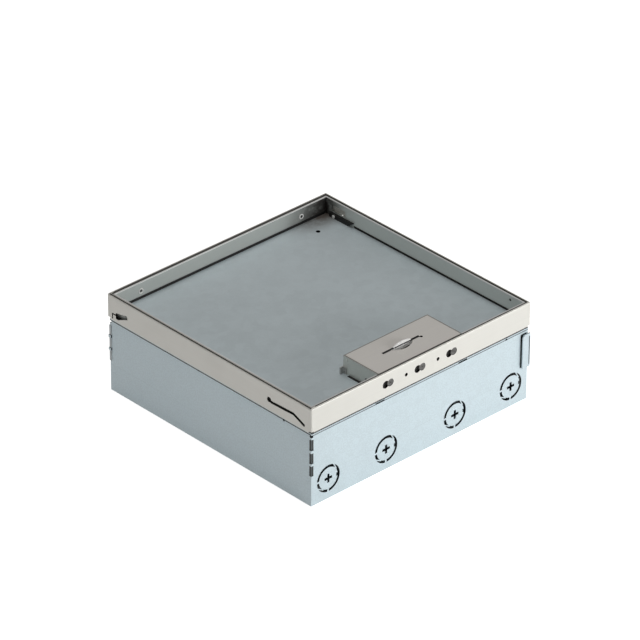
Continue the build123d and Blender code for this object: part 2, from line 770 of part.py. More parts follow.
def outlet_collar():
    """Upright collar round the cable outlet, with a flange below the lid plate."""
    z_range = (rim_bottom, collar_top)
    front = -rim_in
    collar = block((-collar_half, collar_half), (front, outlet_back_y), z_range)
    collar -= block((-collar_in, collar_in), (front, collar_back_in), z_range)
    flange_z = (rim_bottom, plate_bottom)
    collar -= block((-collar_half, collar_half), (front, front + outlet_lip), flange_z)
    flange_front = -(rim_half - rim_flange) + collar_flange_gap
    side = block((collar_half, collar_half + collar_flange), (flange_front, outlet_back_y), flange_z)
    back_x = (-collar_half - collar_flange, collar_half + collar_flange)
    collar += block(back_x, (outlet_back_y, outlet_back_y + collar_flange), flange_z)
    for piece in both_x(side):
        collar += piece
    wall = (collar_in - 1, collar_half + 1)
    for cutter in (
        rod_x(flap_axis_y, flap_axis_z, flap_pin_radius, wall),
        rod_x(outlet_rivet_y, frame_top - outlet_rivet_drop, outlet_rivet_radius / 2, wall),
    ):
        collar -= cutter
        collar -= mirror(cutter, about=Plane.YZ)
    return collar


def outlet_seal():
    """Dark strips in the tray floor beside the collar."""
    y_range = (-rim_in, -rim_in + outlet_seal_length)
    z_range = (plate_bottom, plate_top + outlet_seal_proud)
    return both_x(block((collar_half, collar_half + outlet_seal_width), y_range, z_range))


def outlet_bracket():
    """Small angle that ties the collar's back corner to the tray floor."""
    z_range = (plate_top, plate_top + outlet_bracket_height)
    y_range = (outlet_back_y - outlet_bracket_along, outlet_back_y)
    leg = block((collar_half, collar_half + bracket_sheet), y_range, z_range)
    wing_y = (outlet_back_y - bracket_sheet, outlet_back_y)
    wing = block((collar_half, collar_half + outlet_bracket_out), wing_y, z_range)
    bracket = leg + wing
    y = outlet_back_y - outlet_bracket_along + 1.4
    for share in (0.3, 0.7):
        z = plate_top + share * outlet_bracket_height
        bracket -= rod_x(y, z, bracket_hole_radius, (collar_half, collar_half + bracket_sheet + 1))
    return bracket


def outlet_rivet():
    """Rivet in the collar's side wall."""
    z = frame_top - outlet_rivet_drop
    shank = rod_x(outlet_rivet_y, z, outlet_rivet_radius / 2, (collar_in, collar_half))
    return shank + rod_x(outlet_rivet_y, z, outlet_rivet_radius, (collar_half, collar_half + outlet_rivet_head))


def outlet_hinge_pin():
    """Pin across the collar that carries the flap."""
    return rod_x(flap_axis_y, flap_axis_z, flap_pin_radius, (-collar_half - flap_pin_proud, collar_half + flap_pin_proud))


def stay_lug():
    """Angle below the lid's flange that carries a lid stay."""
    outer = stay_inner_x - lug_gap
    inner = outer - lug_thick
    ear_top = rim_bottom - lug_thick
    ear = block((inner, outer), (stay_pivot_y - lug_radius, stay_pivot_y + lug_radius), (stay_pivot_z, rim_bottom))
    ear += rod_x(stay_pivot_y, stay_pivot_z, lug_radius, (inner, outer))
    half_foot = lug_foot_length / 2
    foot_y = (stay_pivot_y - half_foot, stay_pivot_y + half_foot)
    foot = block((outer - lug_foot_width, outer), foot_y, (ear_top, rim_bottom))
    return ear + foot - rod_x(stay_pivot_y, stay_pivot_z, stay_rivet_radius, (inner - 1, outer + 1))


def stay_rivet():
    """Pivot rivet of a lid stay."""
    inner = stay_inner_x - lug_gap - lug_thick
    head = stay_outer_x + stay_play
    shank = rod_x(stay_pivot_y, stay_pivot_z, stay_rivet_radius, (inner - 0.5, head))
    return shank + rod_x(stay_pivot_y, stay_pivot_z, stay_rivet_head_radius, (head, head + stay_rivet_head))


def stay_arm():
    """Lid stay: a flat cranked arm from the lid's lug to the guide pin."""
    half = stay_width / 2
    x_range = (stay_inner_x, stay_outer_x)
    crank_y = -(frame_in - ledge_end) + stay_crank_gap
    nose_low = stay_pin_z - stay_nose_radius
    nose_high = stay_pin_z + stay_nose_radius
    points = [
        (stay_pivot_y, stay_pivot_z - half), (stay_pivot_y, stay_pivot_z + half),
        (crank_y + stay_crank_run, rim_bottom - 0.8), (crank_y, nose_high - 0.4), (stay_pin_y, nose_high),
        (stay_pin_y, nose_low), (crank_y, nose_low - 0.3), (crank_y + stay_crank_run, stay_pivot_z - 1.0),
    ]
    arm = side_plate(points, x_range)
    arm += rod_x(stay_pivot_y, stay_pivot_z, half + 0.8, x_range)
    arm += rod_x(stay_pin_y, stay_pin_z, stay_nose_radius, x_range)
    arm -= rod_x(stay_pivot_y, stay_pivot_z, stay_rivet_radius + running_gap, x_range)
    return arm


def stay_pin():
    """Guide pin at the free end of a lid stay."""
    return rod_x(stay_pin_y, stay_pin_z, stay_pin_radius, (stay_outer_x, frame_in - pin_end_gap))


def half_moon(grow):
    """Outline of the finger recess in X and Y, grown outwards by a wall."""
    start = handle_y - handle_sheet / 2 - handle_front_gap
    middle = (recess_x_low + recess_x_high) / 2
    half = (recess_x_high - recess_x_low) / 2
    left = (middle - half - grow, start)
    right = (middle + half + grow, start)
    low = (middle, start - recess_depth_y - grow)
    return make_face([ThreePointArc(left, low, right), Line(right, left)])


def outlet_flap():
    """Stainless flap over the cable outlet, with the handle's slot and the finger recess."""
    flap = block((-flap_half, flap_half), (flap_front, flap_back), (flap_bottom, flap_top))
    slot_y = (handle_y - handle_sheet / 2 - handle_front_gap, handle_y + handle_sheet / 2 + handle_slot_gap)
    slot_x = (handle_x_low - handle_slot_gap, handle_x_high + handle_slot_gap)
    through = (flap_bottom - 1, flap_top + 1)
    flap -= block(slot_x, slot_y, through)
    flap -= rod_z(handle_x_high + handle_hook_shift, handle_hook_y, handle_hook_radius, through)
    recess = extrude(Pos(0, 0, flap_bottom - 1) * half_moon(0), amount=flap_sheet + 2)
    flap -= recess
    bore = rod_x(flap_axis_y, flap_axis_z, flap_pin_radius + running_gap, (-collar_in, collar_in))
    ear_high = flap_half - flap_ear_gap
    ear_x = (ear_high - flap_ear_thick, ear_high)
    ear = rod_x(flap_axis_y, flap_axis_z, flap_ear_radius, ear_x)
    ear_reach = 2 * flap_ear_radius
    ear -= block(ear_x, (flap_axis_y - ear_reach, flap_axis_y + ear_reach), (flap_bottom, flap_top + ear_reach))
    ear += block(ear_x, (flap_axis_y - flap_ear_radius, flap_axis_y + flap_ear_back), (flap_axis_z, flap_bottom))
    for piece in both_x(ear):
        flap += piece
    return flap - bore


def finger_cup():
    """Half-moon pan below the finger recess, open towards the handle."""
    low = flap_bottom - cup_depth
    outer = extrude(Pos(0, 0, low) * half_moon(cup_wall), amount=cup_depth)
    hollow = extrude(Pos(0, 0, low + cup_wall) * half_moon(0), amount=cup_depth)
    return outer - hollow


def lift_handle():
    """Upright handle strip in the flap: an arched top, a finger window and feet that stop it below."""
    y_range = (handle_y - handle_sheet / 2, handle_y + handle_sheet / 2)
    low = flap_top - handle_depth
    strip = block((handle_x_low, handle_x_high), y_range, (low, flap_top - 0.1))
    middle = (handle_arch_low + handle_arch_high) / 2
    left = (handle_arch_low, flap_top - 0.4)
    right = (handle_arch_high, flap_top - 0.4)
    crown = (middle, flap_top + handle_rise)
    face = make_face([ThreePointArc(left, crown, right), Line(right, left)])
    strip += front_plate(face, y_range[0], handle_sheet)
    feet_x = (handle_x_low - handle_foot, handle_x_high + handle_foot)
    strip += block(feet_x, y_range, (low, low + handle_foot_height))
    window_high = flap_top - handle_window_drop
    window_z = (window_high - handle_window_height, window_high)
    window_x = (middle - handle_window_width / 2, middle + handle_window_width / 2)
    return strip - block(window_x, y_range, window_z)


def module_places(y):
    """Centres of the three module places in a device tray."""
    return [(x, y) for x in (-module_pitch, 0.0, module_pitch)]


def device_tray(y):
    """Device frame with three square places, seated in the carrier."""
    half_x = tray_width / 2
    half_y = tray_depth / 2
    body_x = 1.5 * module_pitch + tray_wall
    body_y = module_body / 2 + module_gap + tray_wall
    tray = block((-half_x, half_x), (y - half_y, y + half_y), (carrier_top, carrier_top + tray_height))
    tray += block((-body_x, body_x), (y - body_y, y + body_y), (carrier_top - tray_drop, carrier_top))
    opening = module_body / 2 + module_gap
    through = (carrier_top - tray_drop, carrier_top + tray_height)
    for x, place_y in module_places(y):
        tray -= block((x - opening, x + opening), (place_y - opening, place_y + opening), through)
    return tray


def module_blank(x, y, floor):
    """A module's body with the lip that rests on its tray."""
    lip = module_side / 2
    body = module_body / 2
    seat = carrier_top + tray_height
    module = block((x - body, x + body), (y - body, y + body), (floor, seat))
    return module + block((x - lip, x + lip), (y - lip, y + lip), (seat, module_top))


def socket_bodies():
    """Three earthed socket inserts with a round recess and two pin holes."""
    bodies = []
    recess_low = module_top - socket_recess_depth
    for x, y in module_places(power_y):
        body = module_blank(x, y, module_floor)
        body -= rod_z(x, y, socket_recess_radius, (recess_low, module_top))
        for side in (-1, 1):
            pin_x = x + side * socket_pin_spacing / 2
            body -= rod_z(pin_x, y, sleeve_outer_radius, (recess_low - socket_pin_depth, recess_low))
        bodies.append(body)
    return bodies


def contact_sleeves():
    """Brass sleeves in the pin holes of the sockets."""
    sleeves = []
    high = module_top - socket_recess_depth
    for x, y in module_places(power_y):
        for side in (-1, 1):
            pin_x = x + side * socket_pin_spacing / 2
            sleeve = rod_z(pin_x, y, sleeve_outer_radius, (high - socket_pin_depth, high))
            low = high - socket_pin_depth + clip_thick
            sleeves.append(sleeve - rod_z(pin_x, y, sleeve_inner_radius, (low, high)))
    return sleeves


def earth_clips():
    """Two earth clips in the recess of each socket."""
    clips = []
    low = module_top - socket_recess_depth
    flat = math.sqrt(socket_recess_radius ** 2 - (clip_width / 2) ** 2)
    for x, y in module_places(power_y):
        for side in (-1, 1):
            y_range = (y + side * (flat - clip_thick), y + side * flat)
            clips.append(block((x - clip_width / 2, x + clip_width / 2), y_range, (low, low + clip_length)))
    return clips


def jack_places():
    """Centres of the data jacks, two in each of the two data modules."""
    return [(x + side * jack_pitch / 2, y) for x, y in module_places(data_y)[:2] for side in (-1, 1)]


def data_modules():
    """Two data inserts, each with two openings for jacks."""
    modules = []
    for x, y in module_places(data_y)[:2]:
        module = module_blank(x, y, module_top - jack_depth - 2)
        for side in (-1, 1):
            jack_x = x + side * jack_pitch / 2
            x_range = (jack_x - jack_width / 2, jack_x + jack_width / 2)
            module -= block(x_range, (y - jack_height / 2, y + jack_height / 2), (module_top - jack_depth, module_top))
        modules.append(module)
    return modules


def data_jacks():
    """Four data jacks, each with an open port."""
    jacks = []
    for x, y in jack_places():
        z_range = (module_top - jack_depth, module_top)
        body = block((x - jack_width / 2, x + jack_width / 2), (y - jack_height / 2, y + jack_height / 2), z_range)
        port_x = (x - jack_port_width / 2, x + jack_port_width / 2)
        port_y = (y - jack_port_height / 2, y + jack_port_height / 2)
        jacks.append(body - block(port_x, port_y, (module_top - jack_port_depth, module_top)))
    return jacks


def blank_module():
    """Blank insert in the last place of the data tray."""
    x, y = module_places(data_y)[2]
    return module_blank(x, y, carrier_top - tray_drop)


def mounting_support():
    """Galvanised bridge that carries the device trays, with folded legs and feet."""
    z_range = (carrier_top - carrier_sheet, carrier_top)
    y_range = (carrier_y_low, carrier_y_high)
    support = block((-carrier_x, carrier_x), y_range, z_range)
    body_x = 1.5 * module_pitch + tray_wall + module_gap
    body_y = module_body / 2 + tray_wall + 2 * module_gap
    for y in (power_y, data_y):
        support -= block((-body_x, body_x), (y - body_y, y + body_y), z_range)
    leg = block((carrier_x - carrier_sheet, carrier_x), y_range, (tub_wall, carrier_top))
    foot = block((carrier_x - carrier_foot, carrier_x), y_range, (tub_wall, tub_wall + carrier_sheet))
    for piece in both_x(leg + foot):
        support += piece
    for hole in support_screw_rods(carrier_screw_radius + screw_hole_gap, (tub_wall, tub_wall + carrier_sheet)):
        support -= hole
    return support


def support_screw_rods(radius, z_range):
    """Rods at the four places where the support is screwed to the base."""
    x = carrier_x - carrier_foot / 2 - carrier_sheet / 2
    return [rod_z(sx * x, sy * carrier_screw_y, radius, z_range) for sx in (-1, 1) for sy in (-1, 1)]


def support_screws():
    """Four screws that hold the support to the base."""
    head_low = tub_wall + carrier_sheet
    heads = support_screw_rods(carrier_screw_head_radius, (head_low, head_low + carrier_screw_head))
    shanks = support_screw_rods(carrier_screw_radius, (tub_wall, head_low))
    return [head + shank for head, shank in zip(heads, shanks)]


def divider_plate():
    """Partition between power and data wiring, below the support."""
    high = carrier_top - carrier_sheet
    inner = carrier_x - carrier_foot - 1.0
    y_range = (divider_y, divider_y + divider_sheet)
    wall = block((-inner, inner), y_range, (tub_wall, high))
    return wall + block((-inner, inner), (divider_y, divider_y + divider_foot), (tub_wall, tub_wall + divider_sheet))


def earth_terminal():
    """Earth stud on a square plate."""
    half = earth_plate_side / 2
    high = tub_wall + earth_plate_thick
    plate = block((earth_x - half, earth_x + half), (earth_y - half, earth_y + half), (tub_wall, high))
    return plate + rod_z(earth_x, earth_y, earth_stud_radius, (high, tub_wall + earth_stud_height))


def earth_nut():
    """Nut on the earth stud."""
    low = tub_wall + earth_plate_thick
    z_range = (low, low + earth_nut_height)
    nut = Pos(earth_x, earth_y, 0) * hexagon(earth_nut_flats, z_range)
    return nut - rod_z(earth_x, earth_y, earth_stud_radius, z_range)


def main():
    """Makes every piece and writes it to its own file."""
    os.makedirs("parts", exist_ok=True)
    save("box_tub", box_tub())
    save("anchor_lugs", both_y(anchor_lug()))
    save("corner_posts", [both_y(corner_post()), both_y(window_post())])
    save("top_ring", top_ring())
    save("frame_gasket", frame_gasket())
    save("cover_frame", cover_frame())
    save("frame_screws", frame_screws())
    save("frame_nuts", frame_nuts())
    save("lid_seal", lid_seal())
    save("hinge_pins", hinge_pins())
    save("cable_edge_guard", cable_edge_guard())
    save("guard_studs", guard_studs())
    save("mounting_support", mounting_support())
    save("support_screws", support_screws())
    save("power_tray", device_tray(power_y))
    save("data_tray", device_tray(data_y))
    save("socket_bodies", socket_bodies())
    save("contact_sleeves", contact_sleeves())
    save("earth_clips", earth_clips())
    save("data_modules", data_modules())
    save("data_jacks", data_jacks())
    save("blank_module", blank_module())
    save("divider_plate", divider_plate())
    save("earth_terminal", earth_terminal())
    save("earth_nut", earth_nut())
    save("lid_rim", lid_rim())
    save("lid_plate", lid_plate())
    save("lid_gap_seal", lid_gap_seal())
    save("locator_brackets", both_x(locator_bracket()))
    save("locator_rivets", both_x(locator_rivet()))
    save("outlet_collar", outlet_collar())
    save("outlet_seal", outlet_seal())
    save("outlet_brackets", both_x(outlet_bracket()))
    save("outlet_rivets", both_x(outlet_rivet()))
    save("outlet_hinge_pin", outlet_hinge_pin())
    save("stay_lugs", both_x(stay_lug()))
    save("stay_rivets", both_x(stay_rivet()))
    save("outlet_flap", outlet_flap())
    save("finger_cup", finger_cup())
    save("lift_handle", lift_handle())
    save("stay_arm_right", stay_arm())
    save("stay_pin_right", stay_pin())
    save("stay_arm_left", mirror(stay_arm(), about=Plane.YZ))
    save("stay_pin_left", mirror(stay_pin(), about=Plane.YZ))


main()
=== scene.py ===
"""Dresses the floor socket box: tub, cover frame, tray lid, cable outlet, lid stays and inner devices."""
from __future__ import annotations

import logging
import math
from dataclasses import dataclass, field
from enum import Enum
from typing import Any, Union

import bmesh
import bpy
import numpy as np
from mathutils import Matrix, Vector

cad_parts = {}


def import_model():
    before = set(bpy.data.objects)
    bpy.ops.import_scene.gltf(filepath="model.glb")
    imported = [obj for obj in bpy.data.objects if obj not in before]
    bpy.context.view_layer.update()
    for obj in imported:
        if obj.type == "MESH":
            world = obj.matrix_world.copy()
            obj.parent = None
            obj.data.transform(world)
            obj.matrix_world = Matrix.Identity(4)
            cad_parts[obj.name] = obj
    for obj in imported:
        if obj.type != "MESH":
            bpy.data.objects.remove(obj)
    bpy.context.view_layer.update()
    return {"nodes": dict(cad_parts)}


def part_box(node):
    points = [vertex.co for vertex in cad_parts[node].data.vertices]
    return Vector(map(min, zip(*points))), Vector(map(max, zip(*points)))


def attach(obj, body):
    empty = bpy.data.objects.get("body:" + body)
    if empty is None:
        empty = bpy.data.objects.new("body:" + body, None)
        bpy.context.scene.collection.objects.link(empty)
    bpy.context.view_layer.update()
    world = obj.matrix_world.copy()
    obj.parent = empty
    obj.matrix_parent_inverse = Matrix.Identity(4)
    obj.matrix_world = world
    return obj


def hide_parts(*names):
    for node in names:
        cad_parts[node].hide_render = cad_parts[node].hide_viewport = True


MM = 0.001
MERGE = 1e-7                # points closer than this, in metres, become one
THIN = 1e-8                 # edges and faces smaller than this are dissolved
# Dark lines get painted shade and shadow; some of them are also joints.
DARK = 0.02                 # what is left of a sheet's tone in a dark line
# Cut edges of openings get painted shade, so that the openings read dark.
CUT_EDGE_SHADE = 0.03                  # and on a cut edge
LOOKS = 0.7                 # a face looks along an axis where its normal has more than this of it
SHADE_X = (62.0, 112.0)     # the shade beside the hinge sets in and is full at these, in millimetres
SHADE_Y = (92.0, 117.0)
FOLD_X = (116.2, 117.0)     # the tray's fold in that corner likewise
FOLD_Y = (115.4, 116.4)
FOLD_TOP = (90.5, 86.5)
EDGE_END = 117.0            # the near edge's start counts only farther out than this
LOG = logging.getLogger("floor_socket_box")
Colour = tuple[float, float, float]
Place = tuple[float, float, float]
Number = Union["Wire", float]
TUB_ZINC = (0.62, 0.728, 0.775)
# Painted corner shade beside the hinge: brown-grey on the tray's floor, near black on the rim.
TRAY_CORNER_SHADE = (0.16, 0.14, 0.125)
RIM_CORNER_SHADE = (0.03, 0.026, 0.024)
RUBBER_DUST = (0.2, 0.19, 0.18)
# Painted shade in the rim's dimples.
DIMPLE_SHADE = (0.03, 0.03, 0.03)
# Painted shade on the handle's face in its slot.
SLIT_SHADE = (0.012, 0.012, 0.012)


class Slot(Enum):
    """Material slots of the record that new pieces are listed under; nothing here reads them."""

    GALVANISED = "galvanised"
    STAINLESS = "stainless"
    ZINC = "zinc_fasteners"
    DARK_STEEL = "dark_steel"
    RUBBER = "black_rubber"
    DARK_PLASTIC = "dark_plastic"
    WHITE_PLASTIC = "white_plastic"
    BRASS = "brass"


class Axis(Enum):
    """A direction of the row frame."""

    X = (1.0, 0.0, 0.0)
    Y = (0.0, 1.0, 0.0)
    Z = (0.0, 0.0, 1.0)


class Wire:
    """One output socket of a material, which takes part in Python sums and adds the Math nodes for them."""

    def __init__(self, bench: Bench, socket: bpy.types.NodeSocket | None) -> None:
        """Keeps the socket and the bench it belongs to."""
        self.bench = bench
        self.socket = socket

    def _math(self, operation: str, first: Number, second: Number) -> Wire:
        """Adds one Math node."""
        return self.bench.node("ShaderNodeMath", {"operation": operation}, {0: first, 1: second})

    def __add__(self, other: Number) -> Wire:
        """Self plus other."""
        return self._math("ADD", self, other)

    def __radd__(self, other: Number) -> Wire:
        """Other plus self."""
        return self._math("ADD", other, self)

    def __sub__(self, other: Number) -> Wire:
        """Self minus other."""
        return self._math("SUBTRACT", self, other)

    def __rsub__(self, other: Number) -> Wire:
        """Other minus self."""
        return self._math("SUBTRACT", other, self)

    def __mul__(self, other: Number) -> Wire:
        """Self times other."""
        return self._math("MULTIPLY", self, other)

    def __rmul__(self, other: Number) -> Wire:
        """Other times self."""
        return self._math("MULTIPLY", other, self)

    def __abs__(self) -> Wire:
        """Size without sign."""
        return self._math("ABSOLUTE", self, 0.0)

    def at_most(self, other: Number) -> Wire:
        """The lower of two values."""
        return self._math("MINIMUM", self, other)

    def at_least(self, other: Number) -> Wire:
        """The higher of two values."""
        return self._math("MAXIMUM", self, other)

    def above(self, limit: float) -> Wire:
        """1 where the value is over the limit, else 0."""
        return self._math("GREATER_THAN", self, limit)

    def within(self, low: float, high: float) -> Wire:
        """1 where the value is over low but not over high, else 0."""
        return self.above(low) * (1.0 - self.above(high))

    def ramp(self, low: float, high: float) -> Wire:
        """Smooth rise from 0 at low to 1 at high, or a fall where high is the lower one.

        Args:
            low: value that gives 0.
            high: value that gives 1.

        Returns:
            The share between 0 and 1.
        """
        least, most = min(low, high), max(low, high)
        settings = {"interpolation_type": "SMOOTHSTEP", "clamp": True}
        inputs = {"Value": self, "From Min": least, "From Max": most}
        rise = self.bench.node("ShaderNodeMapRange", settings, inputs)
        return rise if low < high else 1.0 - rise


class Bench:
    """One material's node tree, with a single way to add a node."""

    def __init__(self, name: str) -> None:
        """Starts an empty material of that name."""
        self.material = bpy.data.materials.new(name)
        self.material.use_nodes = True
        self.tree = self.material.node_tree
        self.tree.nodes.clear()

    def node(self, kind: str, settings: dict[str, Any] | None = None, inputs: dict[Any, Any] | None = None,
             out: int | str = 0) -> Wire:
        """Adds a node.

        Args:
            kind: the node's type.
            settings: its properties, set first.
            inputs: values or wires by socket name or number.
            out: the output that is returned.

        Returns:
            That output as a wire.
        """
        made = self.tree.nodes.new(kind)
        for key, value in (settings or {}).items():
            setattr(made, key, value)
        for key, value in (inputs or {}).items():
            socket = made.inputs[key]
            if isinstance(value, Wire):
                self.tree.links.new(value.socket, socket)
            elif isinstance(value, tuple) and socket.type == "RGBA":
                socket.default_value = (*value, 1.0)
            else:
                socket.default_value = value
        return Wire(self, made.outputs[out] if len(made.outputs) else None)

    def mix(self, share: Number, low: Any, high: Any) -> Wire:
        """Blends two colours."""
        return self.node("ShaderNodeMix", {"data_type": "RGBA"}, {0: share, 6: low, 7: high}, out=2)

    def place(self, scale: tuple[float, float, float] = (1.0, 1.0, 1.0)) -> Wire:
        """Object coordinates, stretched by a scale on each axis."""
        spot = self.node("ShaderNodeTexCoord", out="Object")
        return self.node("ShaderNodeMapping", {}, {"Vector": spot, "Scale": scale})

    def axis(self, name: str) -> Wire:
        """One of the object coordinates, in millimetres."""
        spot = self.node("ShaderNodeTexCoord", out="Object")
        return self.node("ShaderNodeSeparateXYZ", {}, {0: spot}, out=name) * (1.0 / MM)

    def facing(self, name: str) -> Wire:
        """Reads one component of the true surface normal along the object's own axes, which turn with it.

        Args:
            name: the axis, X, Y or Z.

        Returns:
            The component, from -1 to 1.
        """
        normal = self.node("ShaderNodeNewGeometry", out="True Normal")
        turn = {"vector_type": "NORMAL", "convert_from": "WORLD", "convert_to": "OBJECT"}
        own = self.node("ShaderNodeVectorTransform", turn, {"Vector": normal})
        return self.node("ShaderNodeSeparateXYZ", {}, {0: own}, out=name)

    def noise(self, scale: float, detail: float = 2.0, stretch: tuple[float, float, float] = (1.0, 1.0, 1.0),
              roughness: float = 0.5) -> Wire:
        """Soft noise between 0 and 1 on object coordinates."""
        inputs = {"Vector": self.place(stretch), "Scale": scale, "Detail": detail, "Roughness": roughness}
        return self.node("ShaderNodeTexNoise", {}, inputs)

    def cells(self, scale: float) -> Wire:
        """A random level between 0 and 1 for each crystal of a spangle."""
        colour = self.node("ShaderNodeTexVoronoi", {}, {"Vector": self.place(), "Scale": scale}, out="Color")
        return self.node("ShaderNodeSeparateXYZ", {}, {0: colour}, out="X")

    def upright(self) -> Wire:
        """1 on faces that stand upright, 0 on level ones."""
        return 1.0 - abs(self.facing("Z")).ramp(0.3, 0.6)

    def cut_edge(self, face: float, back: float, low: float, high: float) -> Wire:
        """Finds the cut edges of the openings in a square box's four walls.

        Within a wall's thickness, a face that doesn't look along the wall's own direction is a cut edge. At
        the corners, where two walls meet, only a level face is one.

        Args:
            face: distance of the walls' outer faces from the middle, in millimetres.
            back: distance of their inner faces.
            low: height below which the edge isn't one of an opening.
            high: height above which it isn't.

        Returns:
            1 on a cut edge, else 0.
        """
        slack, proud = 0.05, 3.0
        x, y = (abs(self.axis(name)) for name in ("X", "Y"))
        turned_x, turned_y = (1.0 - abs(self.facing(name)).ramp(0.45, 0.55) for name in ("X", "Y"))
        corner = x.at_most(y).above(back - 2.0 * slack)
        wall = (x.above(back + slack) * turned_x).at_least(y.above(back + slack) * turned_y)
        level = abs(self.facing("Z")).above(0.5)
        edge = (wall * (1.0 - corner)).at_least(corner * level)
        return edge * self.axis("Z").within(low, high) * x.at_least(y).within(back + slack, face + proud)

    def corner_shade(self) -> Wire:
        """Paints shade into the tray's corner beside the hinge, broken into streaks, strongest in the fold
        itself.

        Returns:
            How strong the painted shade is; it passes 1 in the fold.
        """
        x, y = self.axis("X"), self.axis("Y")
        fold = x.ramp(*FOLD_X) * y.ramp(*FOLD_Y) * 1.6 * self.axis("Z").ramp(*FOLD_TOP)
        broken = self.noise(120.0, detail=4.0, roughness=0.7).ramp(0.1, 0.6)
        return (x.ramp(*SHADE_X) * y.ramp(*SHADE_Y) * (broken * 0.7 + 0.35)).at_least(fold)

    def bump(self, height: Wire, strength: float, distance: float) -> Wire:
        """A normal from a height, with the distance in millimetres."""
        inputs = {"Height": height, "Strength": strength, "Distance": distance * MM}
        return self.node("ShaderNodeBump", {}, inputs)

    def finish(self, base: Wire, roughness: Number, normal: Wire,
               metallic: float = 0.0) -> bpy.types.Material:
        """Closes the material with its surface shader.

        Args:
            base: the base colour.
            roughness: how rough it is, as a value or a wire.
            normal: the bumped normal.
            metallic: how metallic it is.

        Returns:
            The material.
        """
        inputs = {"Base Color": base, "Metallic": metallic, "Roughness": roughness, "Normal": normal}
        surface = self.node("ShaderNodeBsdfPrincipled", {}, inputs)
        self.node("ShaderNodeOutputMaterial", {}, {"Surface": surface})
        return self.material


def tint(colour: Colour, level: float) -> Colour:
    """A colour made lighter or darker by a factor."""
    return tuple(min(1.0, part * level) for part in colour)


@dataclass(frozen=True)
class Finish:
    """What every finish has: a name, its colour and how rough and metallic it is."""

    name: str
    colour: Colour
    roughness: float = 0.5
    metallic: float = 0.0

    def material(self) -> bpy.types.Material:
        """Makes the finish's material, each kind of finish in its own way."""
        raise NotImplementedError

    def two_tone(self, bench: Bench, share: Wire, spread: float) -> Wire:
        """The finish's own colour, from darker to lighter by the spread as the share goes from 0 to 1."""
        return bench.mix(share, tint(self.colour, 1.0 - spread), tint(self.colour, 1.0 + spread))

    def shaded(self, bench: Bench, base: Wire, share: Number, level: float) -> Wire:
        """The base turned, by a share, towards the finish's own colour at a level."""
        return bench.mix(share, base, tint(self.colour, level))


@dataclass(frozen=True)
class GalvanisedSheet(Finish):
    """Hot-dip zinc on steel sheet: crystals a few millimetres across, faint clouds and painted shade on the
    cut edges of openings.

    Attributes:
        crystal: size of a crystal.
        spread: how far its tone leaves the mean.
        cloud: how far the clouds do.
        fleck: how strong the finest grain is.
        crease: height of a pressed line, which also gets a little painted shade; a negative one leaves it
            out.
        wall: outer and inner face of walls, and the heights between which their openings' cut edges get
            painted shade.
        joints_and_shadow_lines: for each dark line on the walls, the axis they face, its heights and its
            depth; partly joints, partly painted shade.
        shaded_edges: whether the edges of a level sheet get painted shade.
        groove: low and high x of a groove that gets painted shade and the face from which it is sunk.
        corner_shade_depth: how strong the painted shade is in the corner beside the hinge.
    """

    roughness: float = 0.42
    metallic: float = 0.2
    crystal: float = 6.0
    spread: float = 0.035
    cloud: float = 0.03
    fleck: float = 0.05
    crease: float = -1.0
    wall: tuple[float, float, float, float] | None = None
    joints_and_shadow_lines: tuple[tuple[str, float, float, float], ...] = ()
    shaded_edges: bool = False
    groove: tuple[float, float, float] | None = None
    corner_shade_depth: float = 0.0

    def material(self) -> bpy.types.Material:
        """Makes the sheet's material.

        Crystal tone plus cloud tone gives the colour; crystals also change the gloss and lie a hair apart.

        Returns:
            The material.
        """
        bench = Bench(self.name)
        crystal = bench.cells(1000.0 / self.crystal)
        fine = bench.cells(2600.0 / self.crystal)
        cloud = bench.noise(9.0, detail=4.0)
        rub = bench.noise(14.0, detail=5.0, roughness=0.7).ramp(0.6, 0.78)
        speck = bench.noise(750.0, detail=3.0, roughness=0.65)
        tone = 0.5 + (crystal - 0.5) * 0.62 + (fine - 0.5) * 0.38
        tone = tone + (cloud - 0.5) * (self.cloud / self.spread) + (speck - 0.5) * (self.fleck / self.spread)
        base = self.two_tone(bench, tone, self.spread)
        base = self.shaded(bench, base, rub * 0.12, 1.12)
        height = crystal * 0.02 + speck * 0.03
        if self.crease > 0.0:
            # the pressed line is sunk by the bump and gets a little painted shade
            pressed = abs(bench.axis("Z") - self.crease).ramp(0.7, 0.1) * bench.upright()
            base = self.shaded(bench, base, pressed * 0.07, 0.45)
            height = height - pressed * 0.25
        base = self.marked(bench, base)
        rough = self.roughness + (crystal - 0.5) * 0.1 + (cloud - 0.5) * 0.12
        return bench.finish(base, rough, bench.bump(height, 0.6, 0.25), self.metallic)

    def marked(self, bench: Bench, base: Wire) -> Wire:
        """Adds the dark lines, partly joints and partly painted shadow, and painted shade on cut edges, in
        the groove, on a level sheet's edges and in the corner beside the hinge.

        Args:
            bench: the material being built.
            base: its colour so far.

        Returns:
            The colour with them.
        """
        # dark lines: partly joints, partly painted shadow under the frame and painted shade on the ring's leg
        for name, low, high, depth in self.joints_and_shadow_lines:
            joint_and_shadow_line = bench.axis("Z").within(low, high) * abs(bench.facing(name)).above(LOOKS)
            base = self.shaded(bench, base, joint_and_shadow_line * depth, DARK)
        if self.wall:
            # painted shade on the cut edges of openings
            base = self.shaded(bench, base, bench.cut_edge(*self.wall), CUT_EDGE_SHADE)
        # painted shade in the lug's groove
        if self.groove:
            low, high, face = self.groove
            sunk = bench.axis("X").within(low, high) * (1.0 - abs(bench.axis("Y")).above(face))
            base = self.shaded(bench, base, sunk, CUT_EDGE_SHADE)
        # painted shade in the corner beside the hinge, towards brown-grey
        if self.corner_shade_depth > 0.0:
            base = bench.mix(bench.corner_shade() * self.corner_shade_depth, base, TRAY_CORNER_SHADE)
        # painted shade on the level sheet's upright edges
        if self.shaded_edges:
            base = self.shaded(bench, base, bench.upright(), DARK)
        return base


